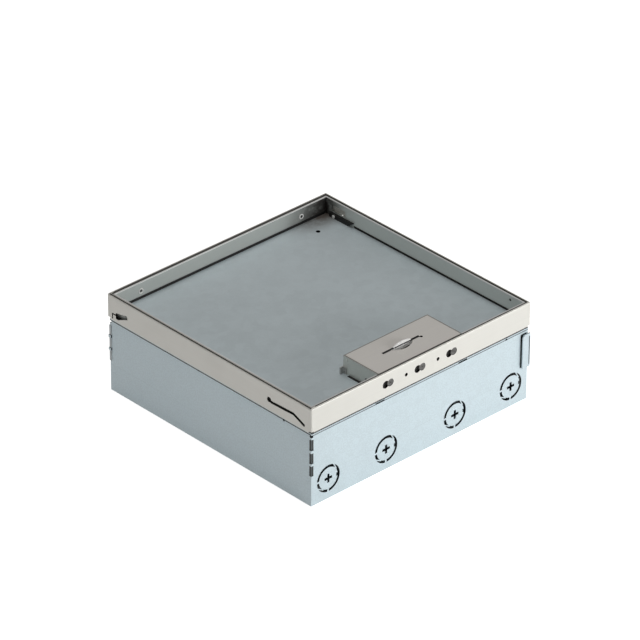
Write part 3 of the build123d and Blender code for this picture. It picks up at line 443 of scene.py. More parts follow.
@dataclass(frozen=True)
class SatinStainless(Finish):
    """Brushed stainless sheet with its grain along the length, finger marks and a painted tone on its top
    edge.

    Attributes:
        grain: how much the brushed lines change the tone.
        stretch: how dense they are along each axis.
        edge_height: height of the top edge that gets the painted tone; a negative one leaves it out.
        painted_edge_tone: that tone: a painted shadow line on the frame and the collar, a painted highlight
            on the rim.
        edge_reach: where that edge starts on the -X side, and how far out it reaches on the -X side, on the
            -Y side and on the far sides, since its outer corner is rounded.
        rounded: whether the edge also shows a little way down the sheet's faces.
        gap: distance of the wall's middle, and the height above which the lid gap shades its inner face.
        wall: as on galvanised sheet.
        corner_shade_depth: how strong the painted shade is in the corner beside the hinge.
        slot: x, low y and high y of the field whose upright faces get painted shade.
        pressed: distance of the side walls' and the back wall's dimples, at the bottom of each, where painted
            shade goes.
        shade_and_lit_band: heights where painted shade starts on the handle's face, of the painted lit band
            in it and of that band's foot.
        foot: height below which the walls that face Y get a painted shadow; a negative one leaves it out.
        painted_light_x: x beyond which the sheet gets painted light; a negative one leaves it out.
    """

    roughness: float = 0.36
    metallic: float = 0.2
    grain: float = 0.035
    stretch: tuple[float, float, float] = (6.0, 6.0, 700.0)
    edge_height: float = -1.0
    painted_edge_tone: Colour = (0.12, 0.1, 0.085)
    edge_reach: tuple[float, float, float, float] | None = None
    rounded: bool = False
    gap: tuple[float, float] | None = None
    wall: tuple[float, float, float, float] | None = None
    corner_shade_depth: float = 0.0
    slot: tuple[float, float, float] | None = None
    pressed: tuple[float, float] | None = None
    shade_and_lit_band: tuple[float, float, float] | None = None
    foot: float = -1.0
    painted_light_x: float = -1.0

    def material(self) -> bpy.types.Material:
        """Makes the sheet's material.

        Noise drawn out along the sheet gives the grain; slow noise gives marks in the gloss.

        Returns:
            The material.
        """
        bench = Bench(self.name)
        lines = bench.noise(1.0, detail=3.0, stretch=self.stretch, roughness=0.65)
        marks = bench.noise(28.0, detail=4.0).ramp(0.42, 0.72)
        base = self.two_tone(bench, lines, self.grain)
        base = self.shaded(bench, base, marks * 0.1, 0.84)
        base = self.walls(bench, base)
        # painted edge: a painted shadow line on the frame and the collar, a painted highlight on the rim
        if self.edge_height > 0.0:
            tone = bench.mix(lines, tint(self.painted_edge_tone, 0.8), tint(self.painted_edge_tone, 1.2))
            base = bench.mix(self.edge_mask(bench), base, tone)
        base = self.fields(bench, base)
        rough = self.roughness + (lines - 0.5) * 0.12 + marks * 0.08
        return bench.finish(base, rough, bench.bump(lines, 0.12, 0.1), self.metallic)

    def walls(self, bench: Bench, base: Wire) -> Wire:
        """Adds what lies on the walls below the edge: painted shade on cut edges, a painted shadow along the
        foot, painted light on the +X side and painted shade in the corner beside the hinge.

        Args:
            bench: the material being built.
            base: its colour so far.

        Returns:
            The colour with them.
        """
        if self.wall:
            # painted shade on the cut edges of openings
            base = self.shaded(bench, base, bench.cut_edge(*self.wall), CUT_EDGE_SHADE)
        # painted shadow along the frame's lower edge
        if self.foot > 0.0:
            foot = (1.0 - bench.axis("Z").above(self.foot)) * abs(bench.facing("Y")).above(LOOKS)
            base = self.shaded(bench, base, foot, DARK)
        # painted light on the +X wall
        if self.painted_light_x > 0.0:
            base = self.shaded(bench, base, bench.axis("X").above(self.painted_light_x) * bench.upright(), 1.5)
        # painted shade in the corner beside the hinge, towards near black
        if self.corner_shade_depth > 0.0:
            base = bench.mix(bench.corner_shade() * self.corner_shade_depth, base, RIM_CORNER_SHADE)
        return base

    def edge_mask(self, bench: Bench) -> Wire:
        """Finds the top edge that gets the painted tone.

        Args:
            bench: the material being built.

        Returns:
            1 on the edge, else 0.
        """
        x, y = bench.axis("X"), bench.axis("Y")
        edge = bench.axis("Z").ramp(self.edge_height - 0.9, self.edge_height - 0.7)
        if self.edge_reach:
            start, near_x, near_y, far = self.edge_reach
            edge = edge * x.above(-near_x) * y.above(-near_y) * (1.0 - x.at_least(y).above(far))
            edge = edge * (1.0 - x.within(-start, -EDGE_END))
        return edge if self.rounded else edge * bench.facing("Z").ramp(0.35, 0.6)

    def fields(self, bench: Bench, base: Wire) -> Wire:
        """Adds what lies over the edge: the gap's shade, painted shade in the slot and the dimples, and the
        handle's painted shade and lit band.

        Args:
            bench: the material being built.
            base: its colour so far.

        Returns:
            The colour with them.
        """
        x, y, z = (bench.axis(name) for name in ("X", "Y", "Z"))
        if self.gap:
            inner, low = self.gap
            shade = z.above(low) * bench.upright() * (1.0 - abs(x).at_least(abs(y)).above(inner))
            base = self.shaded(bench, base, shade, 0.2)
        # painted shade on the upright faces of the handle's slot
        if self.slot:
            across, low, high = self.slot
            inside = (1.0 - abs(x).above(across)) * y.within(low, high)
            base = self.shaded(bench, base, inside * bench.upright(), DARK)
        # painted shade in the dimples
        if self.pressed:
            side, back = self.pressed
            dimple_shade_mask = abs(abs(x) - side).ramp(0.2, 0.1) + abs(y - back).ramp(0.2, 0.1)
            base = bench.mix(dimple_shade_mask.at_most(1.0) * bench.upright(), base, DIMPLE_SHADE)
        # painted shade on the handle's face below the crown, with a painted lit band in it
        if self.shade_and_lit_band:
            top, band, foot = self.shade_and_lit_band
            lit = z.ramp(foot - 0.2, foot + 0.3) * z.ramp(band + 0.15, band - 0.15)
            shade_and_lit_band = bench.mix(lit, SLIT_SHADE, self.colour)
            base = bench.mix(z.ramp(top + 0.05, top - 0.05), base, shade_and_lit_band)
        return base


@dataclass(frozen=True)
class ZincPlate(Finish):
    """Bright zinc on turned and stamped parts: fine mottling and dull spots."""

    roughness: float = 0.34
    metallic: float = 0.75

    def material(self) -> bpy.types.Material:
        """Makes the plating's material.

        Fine noise mottles the colour and the gloss; a coarser one leaves dull spots.

        Returns:
            The material.
        """
        bench = Bench(self.name)
        mottle = bench.noise(700.0, detail=3.0)
        dull = bench.noise(160.0).ramp(0.55, 0.75)
        base = bench.mix(mottle, tint(self.colour, 0.9), tint(self.colour, 1.08))
        base = self.shaded(bench, base, dull * 0.35, 0.7)
        rough = self.roughness + dull * 0.2 + mottle * 0.06
        return bench.finish(base, rough, bench.bump(mottle, 0.2, 0.05), self.metallic)


@dataclass(frozen=True)
class ShadedPost(ZincPlate):
    """Corner posts: near black on the -Y half as painted shade behind the lugs' slots, lighter along the
    fold; bare zinc lightened as painted light on the +Y half.
    """

    bare: Colour = (0.8, 0.86, 0.88)

    def material(self) -> bpy.types.Material:
        """Makes the posts' material.

        The fold is where |x| and |y| are the same, within a millimetre.

        Returns:
            The material.
        """
        bench = Bench(self.name)
        mottle = bench.noise(500.0, detail=3.0)
        base = self.two_tone(bench, mottle, 0.2)
        fold = abs(abs(bench.axis("X")) - abs(bench.axis("Y"))).ramp(0.9, 0.2)
        base = self.shaded(bench, base, fold * 0.6, 8.0)
        # painted light on the +Y half, painted shade on the -Y half
        base = bench.mix(bench.axis("Y").above(0.0), base, self.bare)
        return bench.finish(base, self.roughness, bench.bump(mottle, 0.2, 0.05), self.metallic)


@dataclass(frozen=True)
class SoftRubber(Finish):
    """Moulded cellular rubber, nearly black, with open pores and a trace of dust."""

    roughness: float = 0.78

    def material(self) -> bpy.types.Material:
        """Makes the rubber's material.

        Pores are the low places of a fine noise; dust lies where a slow noise is high.

        Returns:
            The material.
        """
        bench = Bench(self.name)
        pores = bench.noise(1800.0)
        dust = bench.noise(60.0, detail=4.0).ramp(0.5, 0.8)
        base = self.two_tone(bench, pores, 0.3)
        base = bench.mix(dust * 0.1, base, RUBBER_DUST)
        return bench.finish(base, self.roughness, bench.bump(pores, 0.35, 0.15))


@dataclass(frozen=True)
class MouldedPlastic(Finish):
    """Injection-moulded plastic with a fine spark-eroded texture and slightly uneven gloss."""

    roughness: float = 0.42

    def material(self) -> bpy.types.Material:
        """Makes the plastic's material.

        A fine noise is the mould's texture; a slow one shifts tone and gloss a little.

        Returns:
            The material.
        """
        bench = Bench(self.name)
        skin = bench.noise(1400.0)
        flow = bench.noise(24.0, detail=3.0)
        base = self.two_tone(bench, flow, 0.06)
        rough = self.roughness + (flow - 0.5) * 0.16
        return bench.finish(base, rough, bench.bump(skin, 0.25, 0.06))


@dataclass(frozen=True)
class FloorPaint(Finish):
    """Pale studio floor that shows white to the camera and keeps a soft shadow."""

    lift: float = 0.8

    def material(self) -> bpy.types.Material:
        """Makes the floor's material: matt, with a plain white glow for camera, mirror and glass rays only.

        Returns:
            The material.
        """
        bench = Bench(self.name)
        matt = bench.node("ShaderNodeBsdfDiffuse", {}, {"Color": self.colour})
        glow = bench.node("ShaderNodeEmission", {}, {"Color": (1.0, 1.0, 1.0), "Strength": self.lift})
        both = bench.node("ShaderNodeAddShader", {}, {0: matt, 1: glow})
        camera, mirror, glass = (bench.node("ShaderNodeLightPath", out=f"Is {kind} Ray")
                                 for kind in ("Camera", "Glossy", "Transmission"))
        seen = camera.at_least(mirror).at_least(glass)
        surface = bench.node("ShaderNodeMixShader", {}, {0: seen, 1: matt, 2: both})
        bench.node("ShaderNodeOutputMaterial", {}, {"Surface": surface})
        return bench.material


class Finishes(Enum):
    """Every finish on the object."""

    # The tub's lines near its top are partly its joint with the ring and partly painted shadow under the
    # frame.
    TUB = GalvanisedSheet("galvanised_tub", TUB_ZINC, spread=0.045, fleck=0.3, crease=25.5,
                          wall=(122.3, 120.05, 2.0, 67.4),
                          joints_and_shadow_lines=(("Y", 67.4, 67.7, 0.4), ("Y", 66.0, 66.8, 0.85), ("X", 66.7, 67.85, 1.0),
                                 ("X", 64.9, 65.2, 0.15)))
    # The ring's top line is painted shadow under the frame; its leg is painted near black as shade.
    RING = GalvanisedSheet("galvanised_ring", TUB_ZINC, spread=0.045, fleck=0.2,
                           joints_and_shadow_lines=(("Y", 67.95, 69.0, 1.0), ("Y", 50.0, 67.58, 1.0), ("X", 50.0, 67.85, 1.0)))
    # The lug's groove gets painted shade.
    LUG = GalvanisedSheet("galvanised_anchor_lug", TUB_ZINC, spread=0.045, fleck=0.15,
                          groove=(120.3, 121.3, 123.6))
    INNER_SHEET = GalvanisedSheet("galvanised_inner_sheet", (0.62, 0.69, 0.72), crystal=5.0)
    # Tray floor: its upright edges and its corner beside the hinge get painted shade.
    TRAY_FLOOR = GalvanisedSheet("galvanised_tray_floor", (0.62, 0.70, 0.73), crystal=7.0, spread=0.03,
                                 cloud=0.05, fleck=0.04, shaded_edges=True, corner_shade_depth=1.0)
    # Frame: top edge painted near black as the lid gap's shadow line, inner face above 91 mm painted shade,
    # foot a painted shadow.
    FRAME = SatinStainless("satin_stainless_frame", (0.775, 0.765, 0.715), edge_height=92.5,
                           painted_edge_tone=(0.012, 0.011, 0.01), edge_reach=(120.8, 122.1, 121.1, 120.8),
                           gap=(121.4, 91.0), foot=70.25, wall=(122.6, 120.3, 70.7, 91.2))
    # Rim: a darker copy of the stainless as painted shade on its walls, a painted highlight on its top edge,
    # painted light on its +X wall.
    RIM = SatinStainless("satin_stainless_rim", (0.48, 0.51, 0.49), edge_height=92.0,
                         painted_edge_tone=(0.95, 0.95, 0.92), rounded=True, corner_shade_depth=0.92, pressed=(118.7, 118.2),
                         painted_light_x=117.6)
    # Collar: its top edge is darkened as a painted shadow line round the flap.
    COLLAR = SatinStainless("satin_stainless_collar", (0.84, 0.88, 0.84), edge_height=92.2,
                            painted_edge_tone=(0.33, 0.32, 0.3))
    # The flap's handle slot gets painted shade.
    FLAP = SatinStainless("satin_stainless_flap", (0.80, 0.775, 0.735), stretch=(6.0, 700.0, 700.0),
                          grain=0.025, slot=(26.0, -107.0, -96.0))
    # The handle's full white colour is painted light: a painted highlight on its crown and the painted lit
    # band.
    HANDLE = SatinStainless("stainless_handle_painted_light", (1.0, 1.0, 0.99), roughness=0.5, metallic=0.0,
                            grain=0.0, shade_and_lit_band=(92.95, 91.8, 87.3))
    CUP = SatinStainless("satin_finger_cup", (1.0, 1.0, 0.98), roughness=0.6, metallic=0.0, grain=0.02)
    BRACKET = SatinStainless("satin_corner_bracket", (0.56, 0.57, 0.56), grain=0.05)
    # Rivets and eyelets: zinc made lighter and less metallic as painted light, so that they show in the shade
    # they sit in.
    RIVET = ZincPlate("rivet_with_painted_light", (0.9, 0.9, 0.88), roughness=0.4, metallic=0.1)
    FASTENER = ZincPlate("zinc_fastener", (0.66, 0.68, 0.70))
    STUD = ZincPlate("zinc_guard_stud", (0.14, 0.138, 0.132), roughness=0.5, metallic=0.3)
    PIN_STEEL = ZincPlate("dark_pin_steel", (0.26, 0.26, 0.26), roughness=0.4, metallic=0.8)
    # Corner posts: painted shade on the -Y half, painted light on the +Y half.
    DARK_POST = ShadedPost("corner_post_painted_shade", (0.016, 0.02, 0.021), roughness=0.6, metallic=0.0)
    # Near-black rubber strips at the rim's foot, as painted shade.
    STRIP = SoftRubber("near_black_shade_strip", (0.006, 0.006, 0.006))
    RUBBER = SoftRubber("black_rubber", (0.022, 0.022, 0.023))
    GUARD = MouldedPlastic("dark_guard_plastic", (0.007, 0.007, 0.007), roughness=0.6)
    TRAY_PLASTIC = MouldedPlastic("dark_tray_plastic", (0.05, 0.052, 0.055))
    INSERT_PLASTIC = MouldedPlastic("white_insert_plastic", (0.78, 0.77, 0.73), roughness=0.32)
    BRASS = ZincPlate("brass_contact", (0.72, 0.53, 0.27), roughness=0.3, metallic=0.9)
    FLOOR = FloorPaint("studio_floor", (0.82, 0.82, 0.82))


def mesh_piece(name: str, points: np.ndarray, wrap_rows: bool = False, caps: bool = True) -> bpy.types.Object:
    """Makes a mesh object from a grid of points.

    Point (i, j) joins its neighbours (i + 1, j) and (i, j + 1), and the last column joins the first. Doubled
    points at poles and seams are merged and the faces are turned outwards.

    Args:
        name: the piece's name.
        points: an array of rows x columns x 3, in metres.
        wrap_rows: whether the last row joins the first.
        caps: whether the first and last rows are closed with a face each.

    Returns:
        The object, at the origin.
    """
    rows, columns = points.shape[:2]
    i, j = np.meshgrid(np.arange(rows if wrap_rows else rows - 1), np.arange(columns), indexing="ij")
    next_i, next_j = (i + 1) % rows, (j + 1) % columns
    corners = [i * columns + j, next_i * columns + j, next_i * columns + next_j, i * columns + next_j]
    faces = np.stack(corners, axis=-1).reshape(-1, 4).tolist()
    if caps and not wrap_rows:
        faces += [list(range(columns)), list(range((rows - 1) * columns, rows * columns))]
    mesh = bpy.data.meshes.new(name)
    mesh.from_pydata(points.reshape(-1, 3).tolist(), [], faces)
    return settled(name, mesh)


def settled(name: str, mesh: bpy.types.Mesh) -> bpy.types.Object:
    """Merges a mesh's doubled points, turns its faces outwards and puts it into the scene.

    Args:
        name: the object's name.
        mesh: the mesh.

    Returns:
        The object, at the origin.
    """
    work = bmesh.new()
    work.from_mesh(mesh)
    bmesh.ops.remove_doubles(work, verts=work.verts, dist=MERGE)
    bmesh.ops.dissolve_degenerate(work, edges=work.edges, dist=THIN)
    bmesh.ops.recalc_face_normals(work, faces=work.faces)
    work.to_mesh(mesh)
    work.free()
    mesh.update()
    return linked(name, mesh)


def linked(name: str, data: Any) -> bpy.types.Object:
    """Puts an object with that data into the scene.

    Args:
        name: the object's name.
        data: its mesh, lamp or camera.

    Returns:
        The object, at the origin.
    """
    made = bpy.data.objects.new(name, data)
    bpy.context.scene.collection.objects.link(made)
    return made


def joined(name: str, parts: list[bpy.types.Object]) -> bpy.types.Object:
    """Joins several pieces into one mesh and removes the parts.

    Args:
        name: the name of the joined piece.
        parts: the pieces, which all lie at the origin.

    Returns:
        The joined piece.
    """
    work = bmesh.new()
    for part in parts:
        work.from_mesh(part.data)
    mesh = bpy.data.meshes.new(name)
    work.to_mesh(mesh)
    work.free()
    for part in parts:
        bpy.data.objects.remove(part)
    return linked(name, mesh)


def smooth_by_angle(mesh: bpy.types.Mesh, angle: float = 35.0) -> None:
    """Shades a mesh smooth and keeps edges over the angle sharp."""
    mesh.polygons.foreach_set("use_smooth", np.ones(len(mesh.polygons), bool))
    mesh.set_sharp_from_angle(angle=math.radians(angle))


def lathe(profile: np.ndarray, centre: Place, axis: Axis, steps: int = 40) -> np.ndarray:
    """Points of a turned part.

    Each profile point (radius, along) gives a ring: centre + along * axis + radius * (cos t * u + sin t * v),
    with t round the axis and u, v square to it.

    Args:
        profile: an array of k x 2, radius and distance along the axis, in millimetres.
        centre: the foot of the axis, in millimetres.
        axis: the direction of the axis.
        steps: points round a ring.

    Returns:
        An array of k x steps x 3, in metres.
    """
    along = np.array(axis.value)
    u = np.roll(along, 1)
    v = np.cross(along, u)
    turn = np.linspace(0.0, 2.0 * math.pi, steps, endpoint=False)
    ring = np.cos(turn)[:, None] * u + np.sin(turn)[:, None] * v
    rings = profile[:, :1, None] * ring[None] + profile[:, 1:, None] * along
    return (rings + np.array(centre)) * MM


def carry(outline: np.ndarray, path: np.ndarray, side: Axis, up: Axis) -> np.ndarray:
    """Points of an outline carried along a straight or bent path.

    Each path point p gives one ring: p + a * side + b * up for every outline point (a, b).

    Args:
        outline: an array of k x 2, in millimetres.
        path: an array of n x 3, in millimetres.
        side: direction of the outline's first value.
        up: direction of its second value.

    Returns:
        An array of n x k x 3, in metres.
    """
    flat = outline[:, :1] * np.array(side.value) + outline[:, 1:] * np.array(up.value)
    return (path[:, None] + flat[None]) * MM


def line(start: Place, end: Place) -> np.ndarray:
    """A straight path from start to end."""
    return np.array([start, end], dtype=float)


def four_corners(x: float, y: float, z: float) -> list[Place]:
    """Four places around the middle, at -x and x and at -y and y."""
    return [(sx * x, sy * y, z) for sx in (-1, 1) for sy in (-1, 1)]


def rounded_box_outline(width: float, height: float, radius: float, steps: int = 4) -> np.ndarray:
    """Outline of a rectangle with round corners, centred, counter-clockwise.

    Each corner is a quarter circle of the radius about a point that far inside it.

    Args:
        width: the rectangle's width, in millimetres.
        height: its height.
        radius: the corners' radius.
        steps: pieces in a corner's arc.

    Returns:
        An array of k x 2, in millimetres.
    """
    quarter = np.linspace(0.0, math.pi / 2, steps + 1)
    corners = []
    for k, (sx, sy) in enumerate(((1, 1), (-1, 1), (-1, -1), (1, -1))):
        turn = quarter + k * math.pi / 2
        middle = np.array([sx * (width / 2 - radius), sy * (height / 2 - radius)])
        corners.append(middle + radius * np.stack([np.cos(turn), np.sin(turn)], axis=1))
    return np.concatenate(corners)


@dataclass(frozen=True)
class Rivet:
    """A turned rivet: a shank of some length, then a crowned head."""

    shank: float
    length: float
    head: float
    height: float

    def profile(self) -> np.ndarray:
        """Radius and distance along the axis.

        The crown is r = head * cos t, along = length + height * (0.35 + 0.65 * sin t), with t up to a quarter
        turn. The shank's end has a small round, made the same way.

        Returns:
            An array of k x 2, in millimetres.
        """
        turn = np.linspace(0.0, math.pi / 2, 8)
        bend = min(0.25, self.shank * 0.3)
        end = np.stack([self.shank - bend + bend * np.sin(turn), bend - bend * np.cos(turn)], axis=1)
        rise = self.length + self.height * (0.35 + 0.65 * np.sin(turn))
        crown = np.stack([self.head * np.cos(turn), rise], axis=1)
        shoulder = [[self.shank, self.length], [self.head, self.length]]
        return np.concatenate([[[0.0, 0.0]], end, shoulder, crown])


@dataclass(frozen=True)
class PanScrew:
    """A pan-head screw with a cross recess and a rolled thread."""

    head: float
    height: float
    shank: float
    length: float
    pitch: float = 1.0

    def points(self, columns: int = 48) -> np.ndarray:
        """Points of the screw standing on its head's underside, shank downwards.

        Crown: z = height * (1 - 0.3 * (r / head)^2) less 0.5 * height inside the cross, whose arms are the
        places where the smaller of |r sin t| and |r cos t| is under a fifth of the head. Shank: the radius
        swings by a cosine of z over the pitch.

        Args:
            columns: points round a ring.

        Returns:
            An array of rings x columns x 3, in millimetres.
        """
        turn = np.linspace(0.0, 2.0 * math.pi, columns, endpoint=False)
        radius = np.linspace(0.0, self.head * 0.93, 12)[:, None]
        arm = np.minimum(abs(radius * np.sin(turn)), abs(radius * np.cos(turn)))
        cross = np.clip((0.2 * self.head - arm) / (0.08 * self.head), 0.0, 1.0)
        cross = cross * np.clip((0.66 * self.head - radius) / (0.12 * self.head), 0.0, 1.0)
        crown = self.height * (1.0 - 0.3 * (radius / self.head) ** 2) - 0.5 * self.height * cross
        down = np.linspace(0.0, -self.length, max(6, int(4 * self.length / self.pitch)))[:, None]
        thread = self.shank - 0.07 * self.shank * (1.0 - np.cos(2.0 * math.pi * down / self.pitch))
        rim = np.array([[self.head, 0.55 * self.height], [self.head, 0.0]])
        rings = np.concatenate([radius, rim[:, :1], thread, [[0.0]]])
        heights = np.concatenate([crown, np.repeat(rim[:, 1:], columns, axis=1),
                                  np.repeat(down, columns, axis=1), np.full((1, columns), -self.length)])
        return np.stack([rings * np.cos(turn), rings * np.sin(turn), heights], axis=-1)


def nut_points(flats: float, bore: float, height: float, columns: int = 48) -> np.ndarray:
    """Points of a chamfered hexagon nut with two flats facing Y.

    The outline's radius is flats / 2 / cos(t mod 60 degrees - 30 degrees). At both faces it is cut to a
    circle, and the chamfer's height is half of what the circle takes off.

    Args:
        flats: distance across the flats.
        bore: radius of the bore.
        height: the nut's height.
        columns: points round a ring.

    Returns:
        An array of 6 x columns x 3, in millimetres, whose last ring joins the first.
    """
    turn = np.linspace(0.0, 2.0 * math.pi, columns, endpoint=False)
    outline = flats / 2 / np.cos(np.mod(turn, math.pi / 3) - math.pi / 6)
    face = np.minimum(outline, flats / 2 * 1.03)
    chamfer = (outline - face) * 0.5
    inner = np.full(columns, bore)
    flat = np.zeros(columns)
    radius = np.stack([inner, face, outline, outline, face, inner])
    level = np.stack([flat, flat, chamfer, height - chamfer, flat + height, flat + height])
    return np.stack([radius * np.cos(turn), radius * np.sin(turn), level], axis=-1)


def bulb_outline(width: float, height: float, hollow: float = 0.12) -> np.ndarray:
    """Outline of a soft seal strip on its flat foot.

    Crown: (width / 2 * cos t, height * sin(t)^0.45). The foot is the straight closing line, with a shallow
    channel in its middle.

    Args:
        width: the strip's width.
        height: its height.
        hollow: the channel's share of the height.

    Returns:
        An array of k x 2, in millimetres.
    """
    turn = np.linspace(0.0, math.pi, 15)
    crown = np.stack([width / 2 * np.cos(turn), height * np.sin(turn) ** 0.45], axis=1)
    crown[0, 1] = crown[-1, 1] = 0.0
    foot = np.array([[-0.2 * width, 0.0], [-0.15 * width, hollow * height], [0.15 * width, hollow * height],
                     [0.2 * width, 0.0]])
    return np.concatenate([crown, foot])


@dataclass
class SubAssembly:
    """A group of pieces that ride on one body, with the means to dress nodes and add pieces."""

    nodes: dict[str, bpy.types.Object]
    body: str = "box"
    materials: dict[Finishes, bpy.types.Material] = field(default_factory=dict)

    def finish(self, finish: Finishes) -> bpy.types.Material:
        """Makes a finish's material once.

        Args:
            finish: the finish.

        Returns:
            Its material.
        """
        if finish not in self.materials:
            self.materials[finish] = finish.value.material()
        return self.materials[finish]

    def dress(self, finish: Finishes, *names: str) -> None:
        """Gives CAD nodes a finish.

        Args:
            finish: the finish.
            names: the nodes.
        """
        for name in names:
            slots = self.nodes[name].data.materials
            slots.clear()
            slots.append(self.finish(finish))
            LOG.info("%s: %s", name, finish.value.name)

    def add(self, piece: bpy.types.Object, finish: Finishes, slot: Slot, *replaced: str) -> None:
        """Puts a new piece on the body.

        Args:
            piece: the piece.
            finish: its finish.
            slot: the material slot it belongs to; not used.
            replaced: the nodes that it stands for.
        """
        piece.data.materials.append(self.finish(finish))
        smooth_by_angle(piece.data)
        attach(piece, self.body)
        if replaced:
            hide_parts(*replaced)
        LOG.info("%s: new piece, %s", piece.name, finish.value.name)

    @staticmethod
    def turned(name: str, profile: np.ndarray, places: list[tuple[Place, int]], axis: Axis,
               ring: bool = False) -> bpy.types.Object:
        """Turns one profile at several places.

        Args:
            name: the piece's name.
            profile: radius and distance along the axis, in millimetres.
            places: the foot of each axis and 1 or -1 for the way it points.
            axis: the axis of turning.
            ring: whether the profile is a closed one that doesn't reach the axis.

        Returns:
            All of them as one mesh.
        """
        parts = []
        for k, (centre, way) in enumerate(places):
            points = lathe(profile * (1.0, way), centre, axis)
            parts.append(mesh_piece(f"{name}_{k}", points, wrap_rows=ring, caps=False))
        return joined(name, parts)

    def fasten(self, name: str, points: np.ndarray, places: list[Place], node: str,
               closed: bool = False) -> None:
        """Stands screws or nuts of bright zinc at several places.

        Args:
            name: the piece's name.
            points: the points of one, upright, in millimetres.
            places: where they stand, in millimetres.
            node: the node that they stand for.
            closed: whether the last ring of points joins the first.
        """
        parts = [mesh_piece(f"{name}_{k}", (points + np.array(place)) * MM, wrap_rows=closed, caps=False)
                 for k, place in enumerate(places)]
        self.add(joined(name, parts), Finishes.FASTENER, Slot.ZINC, node)

    def rivet_pair(self, name: str, form: Rivet, place: Place, node: str, finish: Finishes,
                   slot: Slot = Slot.ZINC, way: int = 1) -> None:
        """Sets two mirrored rivets across X.

        Args:
            name: the piece's name.
            form: the rivet.
            place: the foot of the one on +X, in millimetres.
            node: the node that they stand for.
            finish: their finish.
            slot: the material slot it belongs to.
            way: 1 where they point outwards, -1 where they point inwards.
        """
        x, y, z = place
        feet = [((side * x, y, z), side * way) for side in (-1, 1)]
        self.add(self.turned(name, form.profile(), feet, Axis.X), finish, slot, node)

    @staticmethod
    def strips(name: str, runs: list[tuple[np.ndarray, np.ndarray, Axis, Axis]]) -> bpy.types.Object:
        """Carries an outline along each run (outline, path, side, up) and joins the strips."""
        parts = [mesh_piece(f"{name}_{k}", carry(outline, path, side, up))
                 for k, (outline, path, side, up) in enumerate(runs)]
        return joined(name, parts)


@dataclass
class Tub(SubAssembly):
    """Galvanised tub with its ring, gasket, corner posts and anchor lugs."""

    lug_low_x: float = 113.3
    lug_high_x: float = 121.9
    lug_low_z: float = 32.3
    lug_high_z: float = 64.0
    lug_face: float = 123.8
    lug_corner: float = 3.5
    groove: tuple[float, float] = (120.3, 121.3)
    groove_z: tuple[float, float] = (34.2, 61.2)
    groove_depth: float = 0.7
    wall_face: float = 121.3
    sheet: float = 1.0

    def tongue(self, side: int) -> bpy.types.Object:
        """The lug's tongue on the wall at side * Y.

        Each row at height z is the closed outline of the sheet with its groove. Near the top the left edge
        follows the round corner: x = low + r - sqrt(r^2 - (z - top + r)^2).

        Args:
            side: -1 for the front wall, 1 for the back wall.

        Returns:
            The tongue as one closed mesh.
        """
        r = self.lug_corner
        arc = self.lug_high_z - r + r * np.sin(np.linspace(0.0, math.pi / 2, 10))
        low, high = self.groove_z
        z = np.concatenate([[self.lug_low_z, low, low + 0.01, high, high + 0.01], arc[arc > high + 0.02]])
        rise = np.clip(z - self.lug_high_z + r, 0.0, r)
        left = self.lug_low_x + r - np.sqrt(r * r - rise * rise)
        sunk = np.where((z > low) & (z < high + 0.005), self.groove_depth, 0.0)
        outer = np.full_like(z, self.lug_face)
        inner = outer - self.sheet
        start, end = (np.full_like(z, x) for x in self.groove)
        right = np.full_like(z, self.lug_high_x)
        x = np.stack([left, start, start, end, end, right, right, left], axis=1)
        y = np.stack([outer, outer, outer - sunk, outer - sunk, outer, outer, inner, inner], axis=1) * side
        points = np.stack([x, y, np.repeat(z[:, None], 8, axis=1)], axis=-1) * MM
        return mesh_piece(f"tongue_{side}", points)

    def lugs(self) -> bpy.types.Object:
        """Makes both lugs: each tongue with a head and a foot tab that are bent to the wall.

        Returns:
            Both as one mesh.
        """
        parts = []
        middle = (self.lug_low_x + self.lug_corner + self.wall_face) / 2
        outline = rounded_box_outline(self.wall_face - self.lug_low_x - self.lug_corner, self.sheet, 0.3)
        for side in (-1, 1):
            parts.append(self.tongue(side))
            start, end = side * (self.lug_face - self.sheet), side * self.wall_face
            for z in (self.lug_low_z + self.sheet / 2, self.lug_high_z - self.lug_corner + self.sheet / 2):
                run = line((middle, start, z), (middle, end, z))
                parts.append(mesh_piece(f"tab_{side}_{z:.0f}", carry(outline, run, Axis.X, Axis.Z)))
        return joined("bent_anchor_lugs", parts)

    def build(self) -> None:
        """Dresses the nodes and makes the anchor lugs."""
        self.dress(Finishes.TUB, "box_tub")
        self.dress(Finishes.RING, "top_ring")
        self.dress(Finishes.DARK_POST, "corner_posts")
        self.dress(Finishes.RUBBER, "frame_gasket")
        self.add(self.lugs(), Finishes.LUG, Slot.GALVANISED, "anchor_lugs")


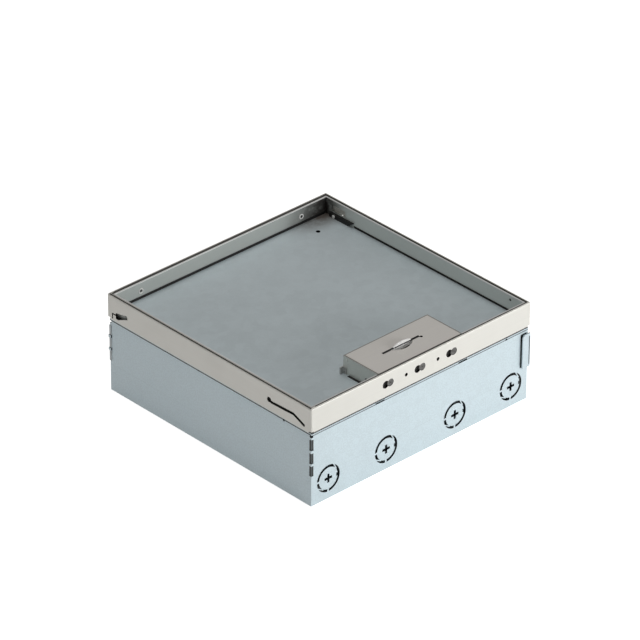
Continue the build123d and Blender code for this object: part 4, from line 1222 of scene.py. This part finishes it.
@dataclass
class CoverFrame(SubAssembly):
    """Stainless cover frame with its screws, seal, hinge pins and cable edge guard."""

    stud_radius: float = 3.25
    stud_face: float = 122.4
    stud_foot: float = 120.3
    stud_height: float = 81.7
    stud_edge: float = 0.35
    stud_places: tuple[float, ...] = (-35.9, -0.5, 34.9)
    screw: PanScrew = PanScrew(head=3.0, height=1.8, shank=2.0, length=7.6, pitch=0.9)
    screw_place: Place = (100.0, 114.9, 70.7)
    nut_flats: float = 7.0
    nut_bore: float = 2.05
    nut_height: float = 3.2
    nut_foot: float = 64.4
    seal_foot: float = 70.7
    seal_height: float = 2.2
    seal_end: float = 109.0
    seal_end_width: float = 4.4
    seal_side: float = 118.75
    seal_side_width: float = 2.3
    seal_side_start: float = -104.0
    seal_front_x: tuple[float, float] = (48.8, 113.6)
    pin: Rivet = Rivet(shank=1.5, length=2.2, head=1.5, height=0.8)
    pin_place: Place = (120.3, 115.5, 89.0)

    def stud(self) -> np.ndarray:
        """Works out a guard stud's profile.

        It is a low drum whose edge is a quarter circle, with a turned ring and a drilled centre in its face.

        Returns:
            An array of k x 2, radius and distance along the axis, in millimetres.
        """
        depth = self.stud_face - self.stud_foot
        turn = np.linspace(0.0, math.pi / 2, 6)
        middle = np.array([self.stud_radius, depth]) - self.stud_edge
        shoulder = middle + self.stud_edge * np.stack([np.cos(turn), np.sin(turn)], axis=1)
        inside = [[2.0, depth], [1.85, depth - 0.2], [1.5, depth - 0.2], [1.35, depth], [0.8, depth],
                  [0.6, depth - 0.4], [0.0, depth - 0.5]]
        return np.concatenate([[[0.0, 0.0], [self.stud_radius, 0.0]], shoulder, inside])

    def seal(self) -> bpy.types.Object:
        """Makes soft strips on the ledge: along the hinge side, both sides and beside the outlet in front.

        Returns:
            All of them as one mesh.
        """
        end = bulb_outline(self.seal_end_width, self.seal_height)
        side = bulb_outline(self.seal_side_width, self.seal_height)
        z = self.seal_foot
        reach = self.seal_side + self.seal_side_width / 2
        high = self.seal_end - self.seal_end_width / 2
        runs = [(end, line((-reach, self.seal_end, z), (reach, self.seal_end, z)), Axis.Y, Axis.Z)]
        for way in (-1, 1):
            x = way * self.seal_side
            runs.append((side, line((x, self.seal_side_start, z), (x, high, z)), Axis.X, Axis.Z))
            low, far = (way * place for place in self.seal_front_x)
            runs.append((end, line((low, -self.seal_end, z), (far, -self.seal_end, z)), Axis.Y, Axis.Z))
        return self.strips("moulded_lid_seal", runs)

    def build(self) -> None:
        """Dresses the nodes and makes studs, screws, nuts, pins and the seal."""
        self.dress(Finishes.FRAME, "cover_frame")
        self.dress(Finishes.GUARD, "cable_edge_guard")
        places = [((x, -self.stud_foot, self.stud_height), -1) for x in self.stud_places]
        studs = self.turned("turned_guard_studs", self.stud(), places, Axis.Y)
        self.add(studs, Finishes.STUD, Slot.ZINC, "guard_studs")
        x, y, z = self.screw_place
        self.fasten("cross_frame_screws", self.screw.points(), four_corners(x, y, z), "frame_screws")
        nut = nut_points(self.nut_flats, self.nut_bore, self.nut_height)
        self.fasten("chamfered_frame_nuts", nut, four_corners(x, y, self.nut_foot), "frame_nuts", closed=True)
        self.rivet_pair("round_hinge_pins", self.pin, self.pin_place, "hinge_pins", Finishes.RIM,
                        slot=Slot.STAINLESS, way=-1)
        self.add(self.seal(), Finishes.RUBBER, Slot.RUBBER, "lid_seal")


@dataclass
class Carrier(SubAssembly):
    """Bridge in the tub with the device trays, the divider and the earth terminal."""

    screw: PanScrew = PanScrew(head=3.6, height=2.2, shank=1.9, length=1.5, pitch=0.8)
    screw_place: Place = (101.25, 60.0, 2.75)
    nut_flats: float = 8.0
    nut_bore: float = 2.55
    nut_height: float = 4.0

    def build(self) -> None:
        """Dresses the nodes and makes the screws and the earth nut."""
        self.dress(Finishes.INNER_SHEET, "mounting_support", "divider_plate", "earth_terminal")
        self.dress(Finishes.TRAY_PLASTIC, "power_tray", "data_tray")
        corners = four_corners(*self.screw_place)
        self.fasten("cross_support_screws", self.screw.points(), corners, "support_screws")
        low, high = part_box("earth_nut")
        centre = ((low[0] + high[0]) / 2 / MM, (low[1] + high[1]) / 2 / MM, low[2] / MM)
        nut = nut_points(self.nut_flats, self.nut_bore, self.nut_height)
        self.fasten("chamfered_earth_nut", nut, [centre], "earth_nut", closed=True)


@dataclass
class Inserts(SubAssembly):
    """Socket, data and blank inserts with their contacts."""

    port_x: tuple[float, ...] = (-56.5, -35.5, -10.5, 10.5)
    port_y: float = -35.0
    port_foot: float = 22.2
    wire_radius: float = 0.22
    wire_pitch: float = 1.02
    wires: int = 8

    def wire_path(self, x: float) -> np.ndarray:
        """Middle line of a contact spring in a data port.

        It rises from the port's foot at its back and leans forward: y = 3.4 - 5.6 * s^2, z = 1 + 6.5 * s,
        with s from 0 to 1 and a hooked tip.

        Args:
            x: the wire's place across the port.

        Returns:
            An array of n x 3, in millimetres.
        """
        s = np.linspace(0.0, 1.0, 9)
        y = self.port_y + 3.4 - 5.6 * s ** 2
        z = self.port_foot + 1.0 + 6.5 * s
        path = np.stack([np.full_like(s, x), y, z], axis=1)
        return np.concatenate([path, [[x, path[-1, 1] - 0.8, path[-1, 2] - 0.3]]])

    def contacts(self) -> bpy.types.Object:
        """Makes the springs of each data port, as round wire.

        Returns:
            All of them as one mesh.
        """
        turn = np.linspace(0.0, 2.0 * math.pi, 6, endpoint=False)
        outline = self.wire_radius * np.stack([np.cos(turn), np.sin(turn)], axis=1)
        runs = []
        for port in self.port_x:
            for k in range(self.wires):
                x = port + (k - (self.wires - 1) / 2) * self.wire_pitch
                runs.append((outline, self.wire_path(x), Axis.X, Axis.Y))
        return self.strips("data_port_springs", runs)

    def build(self) -> None:
        """Dresses the nodes and adds the springs in the data ports."""
        self.dress(Finishes.INSERT_PLASTIC, "socket_bodies", "data_modules", "blank_module")
        self.dress(Finishes.TRAY_PLASTIC, "data_jacks")
        self.dress(Finishes.BRASS, "contact_sleeves", "earth_clips")
        self.add(self.contacts(), Finishes.BRASS, Slot.BRASS)


@dataclass
class TrayLid(SubAssembly):
    """Tray lid: rim, plate, near-black strips at the rim's foot as painted shade, and the locators beside the
    hinge.
    """

    body: str = "lid"
    side_in: float = 118.3
    back_in: float = 117.8
    strip: float = 0.5
    strip_foot: float = 76.3
    back_height: float = 2.4
    side_height: float = 1.8
    side_stop: float = 82.5
    front_start: float = 49.4
    locator: Rivet = Rivet(shank=1.6, length=3.9, head=2.2, height=0.7)
    locator_place: Place = (115.4, 106.0, 78.1)
    eyelet_x: float = 90.0
    eyelet_z: float = 83.5
    eyelet_radius: float = 2.0
    eyelet_wire: float = 0.5

    def gap_strips(self) -> bpy.types.Object:
        """Makes near-black rubber strips at the rim's foot, as painted shade there.

        Returns:
            All of them as one mesh.
        """
        half = self.strip / 2
        z = self.strip_foot
        low = rounded_box_outline(self.strip, self.side_height, 0.2) + np.array([0.0, self.side_height / 2])
        high = rounded_box_outline(self.strip, self.back_height, 0.2) + np.array([0.0, self.back_height / 2])
        y = self.back_in - half
        runs = [(high, line((-self.side_in, y, z), (self.side_in, y, z)), Axis.Y, Axis.Z)]
        for way in (-1, 1):
            x = way * (self.side_in - half)
            runs.append((low, line((x, -self.side_in, z), (x, self.side_stop, z)), Axis.X, Axis.Z))
            y = -self.side_in + half
            start, end = way * self.front_start, way * (self.side_in - self.strip)
            runs.append((low, line((start, y, z), (end, y, z)), Axis.Y, Axis.Z))
        return self.strips("rim_foot_shade_strips", runs)

    def eyelets(self) -> bpy.types.Object:
        """Makes rolled eyelets round the hinge side's two dimples: rings of round wire half sunk in the wall.

        Returns:
            Both as one mesh.
        """
        turn = np.linspace(0.0, 2.0 * math.pi, 12, endpoint=False)
        wire = self.eyelet_wire * np.stack([np.cos(turn), np.sin(turn)], axis=1)
        profile = wire + np.array([self.eyelet_radius, 0.0])
        places = [((way * self.eyelet_x, self.back_in, self.eyelet_z), 1) for way in (-1, 1)]
        return self.turned("rolled_eyelets", profile, places, Axis.Y, ring=True)

    def build(self) -> None:
        """Dresses the nodes and makes strips, rivets and eyelets."""
        self.dress(Finishes.RIM, "lid_rim")
        self.dress(Finishes.TRAY_FLOOR, "lid_plate")
        self.dress(Finishes.GUARD, "locator_brackets")
        self.add(self.gap_strips(), Finishes.STRIP, Slot.RUBBER, "lid_gap_seal")
        self.rivet_pair("domed_locator_rivets", self.locator, self.locator_place, "locator_rivets",
                        Finishes.RIVET)
        self.add(self.eyelets(), Finishes.RIVET, Slot.ZINC)


@dataclass
class CableOutlet(SubAssembly):
    """Collar of the cable outlet in the lid."""

    body: str = "lid"
    rivet: Rivet = Rivet(shank=0.65, length=1.0, head=1.3, height=0.6)
    rivet_place: Place = (46.0, -106.0, 81.3)
    brush_x: float = 48.2
    brush_width: float = 2.35
    brush_y: tuple[float, float] = (-118.3, -86.3)
    brush_z: tuple[float, float] = (74.3, 76.5)

    def brush(self) -> bpy.types.Object:
        """Makes the soft strips beside the collar, rounded along their edges.

        Returns:
            Both as one mesh.
        """
        low, high = self.brush_z
        tall = high - low
        outline = rounded_box_outline(self.brush_width, tall, 0.35) + np.array([0.0, tall / 2])
        runs = []
        for way in (-1, 1):
            start, end = ((way * self.brush_x, y, low) for y in self.brush_y)
            runs.append((outline, line(start, end), Axis.X, Axis.Z))
        return self.strips("outlet_side_strips", runs)

    def build(self) -> None:
        """Dresses the nodes and makes the rivets and the strips."""
        self.dress(Finishes.COLLAR, "outlet_collar", "outlet_hinge_pin")
        self.dress(Finishes.BRACKET, "outlet_brackets")
        self.rivet_pair("domed_outlet_rivets", self.rivet, self.rivet_place, "outlet_rivets",
                        Finishes.PIN_STEEL)
        self.add(self.brush(), Finishes.RUBBER, Slot.RUBBER, "outlet_seal")


@dataclass
class OutletFlap(SubAssembly):
    """Flap over the cable outlet with its finger cup."""

    body: str = "flap"

    def build(self) -> None:
        """Dresses the nodes."""
        self.dress(Finishes.FLAP, "outlet_flap")
        self.dress(Finishes.CUP, "finger_cup")


@dataclass
class LiftHandle(SubAssembly):
    """Lift handle in the flap."""

    body: str = "handle"

    def build(self) -> None:
        """Dresses the node."""
        self.dress(Finishes.HANDLE, "lift_handle")


@dataclass
class LidStays(SubAssembly):
    """The two lid stays and the lugs that carry them."""

    body: str = "lid"
    rivet: Rivet = Rivet(shank=2.0, length=4.3, head=3.2, height=0.7)
    rivet_place: Place = (112.0, 63.9, 68.5)

    def build(self) -> None:
        """Dresses the nodes and makes the pivot rivets."""
        self.dress(Finishes.INNER_SHEET, "stay_lugs", "stay_arm_right", "stay_arm_left")
        self.dress(Finishes.FASTENER, "stay_pin_right", "stay_pin_left")
        self.rivet_pair("domed_stay_rivets", self.rivet, self.rivet_place, "stay_rivets", Finishes.FASTENER)


@dataclass(frozen=True)
class Studio:
    """Floor, light and the camera at the photograph's angle.

    Attributes:
        azimuth, elevation, roll: the camera's angles, in degrees.
        distance: from the spot to the camera, in millimetres.
        lens: focal length.
        sensor: the sensor's width.
        spot: the point that the camera was fitted to, in millimetres.
        offset: how far it lies left of and below the picture's centre, in pixels.
        scale: pixels in a millimetre.
        floor_side: side of the floor, in metres.
        world_colour: the plain level of light from all around.
        key_power, top_power: the lamps' power, in watts.
        aim: the point the lamps look at, in metres.
    """

    azimuth: float = 43.22
    elevation: float = 31.12
    roll: float = 0.281
    distance: float = 4598.6
    lens: float = 314.53
    sensor: float = 36.0
    spot: Place = (0.0, 0.0, 42.5)
    offset: tuple[float, float] = (1.37, 29.67)
    scale: float = 1.216
    floor_side: float = 14.0
    world_colour: Colour = (0.194, 0.189, 0.183)
    key_power: float = 14.4
    top_power: float = 10.2
    aim: Place = (0.0, 0.0, 0.05)

    def camera(self) -> None:
        """Sets the camera: its axes are the view direction, level right and up, turned by the roll."""
        az, el, roll = np.radians([self.azimuth, self.elevation, self.roll])
        back = np.array([-math.sin(az) * math.cos(el), -math.cos(az) * math.cos(el), math.sin(el)])
        right = np.cross(-back, Axis.Z.value)
        right /= np.linalg.norm(right)
        up = np.cross(right, -back)
        side = math.cos(roll) * right + math.sin(roll) * up
        top = -math.sin(roll) * right + math.cos(roll) * up
        shift = side * self.offset[0] / self.scale + top * self.offset[1] / self.scale
        place = (np.array(self.spot) + back * self.distance + shift) * MM
        data = bpy.data.cameras.new("photo_camera")
        data.lens = self.lens
        data.sensor_width = self.sensor
        data.clip_end = 60.0
        camera = linked("photo_camera", data)
        turn = Matrix(np.stack([side, top, back], axis=1).tolist()).to_4x4()
        camera.matrix_world = Matrix.Translation(place.tolist()) @ turn
        bpy.context.scene.camera = camera

    def lamp(self, name: str, place: Place, size: tuple[float, float], power: float) -> None:
        """Adds a soft rectangular lamp that looks at the box's middle.

        Args:
            name: the lamp's name.
            place: its place, in metres.
            size: its sides, in metres.
            power: its power, in watts.
        """
        data = bpy.data.lights.new(name, "AREA")
        data.shape = "RECTANGLE"
        data.size, data.size_y = size
        data.energy = power
        lamp = linked(name, data)
        aim = Vector(self.aim) - Vector(place)
        lamp.matrix_world = Matrix.Translation(place) @ aim.to_track_quat("-Z", "Y").to_matrix().to_4x4()

    def build(self) -> None:
        """Lays the floor and sets the lamps, the world and the camera."""
        half = self.floor_side / 2
        corners = [(-half, -half, 0.0), (half, -half, 0.0), (half, half, 0.0), (-half, half, 0.0)]
        mesh = bpy.data.meshes.new("studio_floor")
        mesh.from_pydata(corners, [], [(0, 1, 2, 3)])
        mesh.materials.append(Finishes.FLOOR.value.material())
        floor = linked("studio_floor", mesh)
        world = bpy.data.worlds.new("studio_world")
        world.use_nodes = True
        world.node_tree.nodes["Background"].inputs["Color"].default_value = (*self.world_colour, 1.0)
        bpy.context.scene.world = world
        self.lamp("key_lamp", (0.6, -1.5, 0.3), (1.0, 0.5), self.key_power)
        self.lamp("top_lamp", (0.1, 0.1, 1.8), (1.4, 1.4), self.top_power)
        self.camera()
        bpy.context.scene.view_settings.view_transform = "Standard"


def main() -> None:
    """Builds the scene."""
    logging.basicConfig(level=logging.INFO, format="%(message)s")
    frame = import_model()
    Studio().build()
    materials: dict[Finishes, bpy.types.Material] = {}
    for group in (Tub, CoverFrame, Carrier, Inserts, TrayLid, CableOutlet, OutletFlap, LiftHandle, LidStays):
        group(nodes=frame["nodes"], materials=materials).build()


if __name__ == "__main__":
    main()
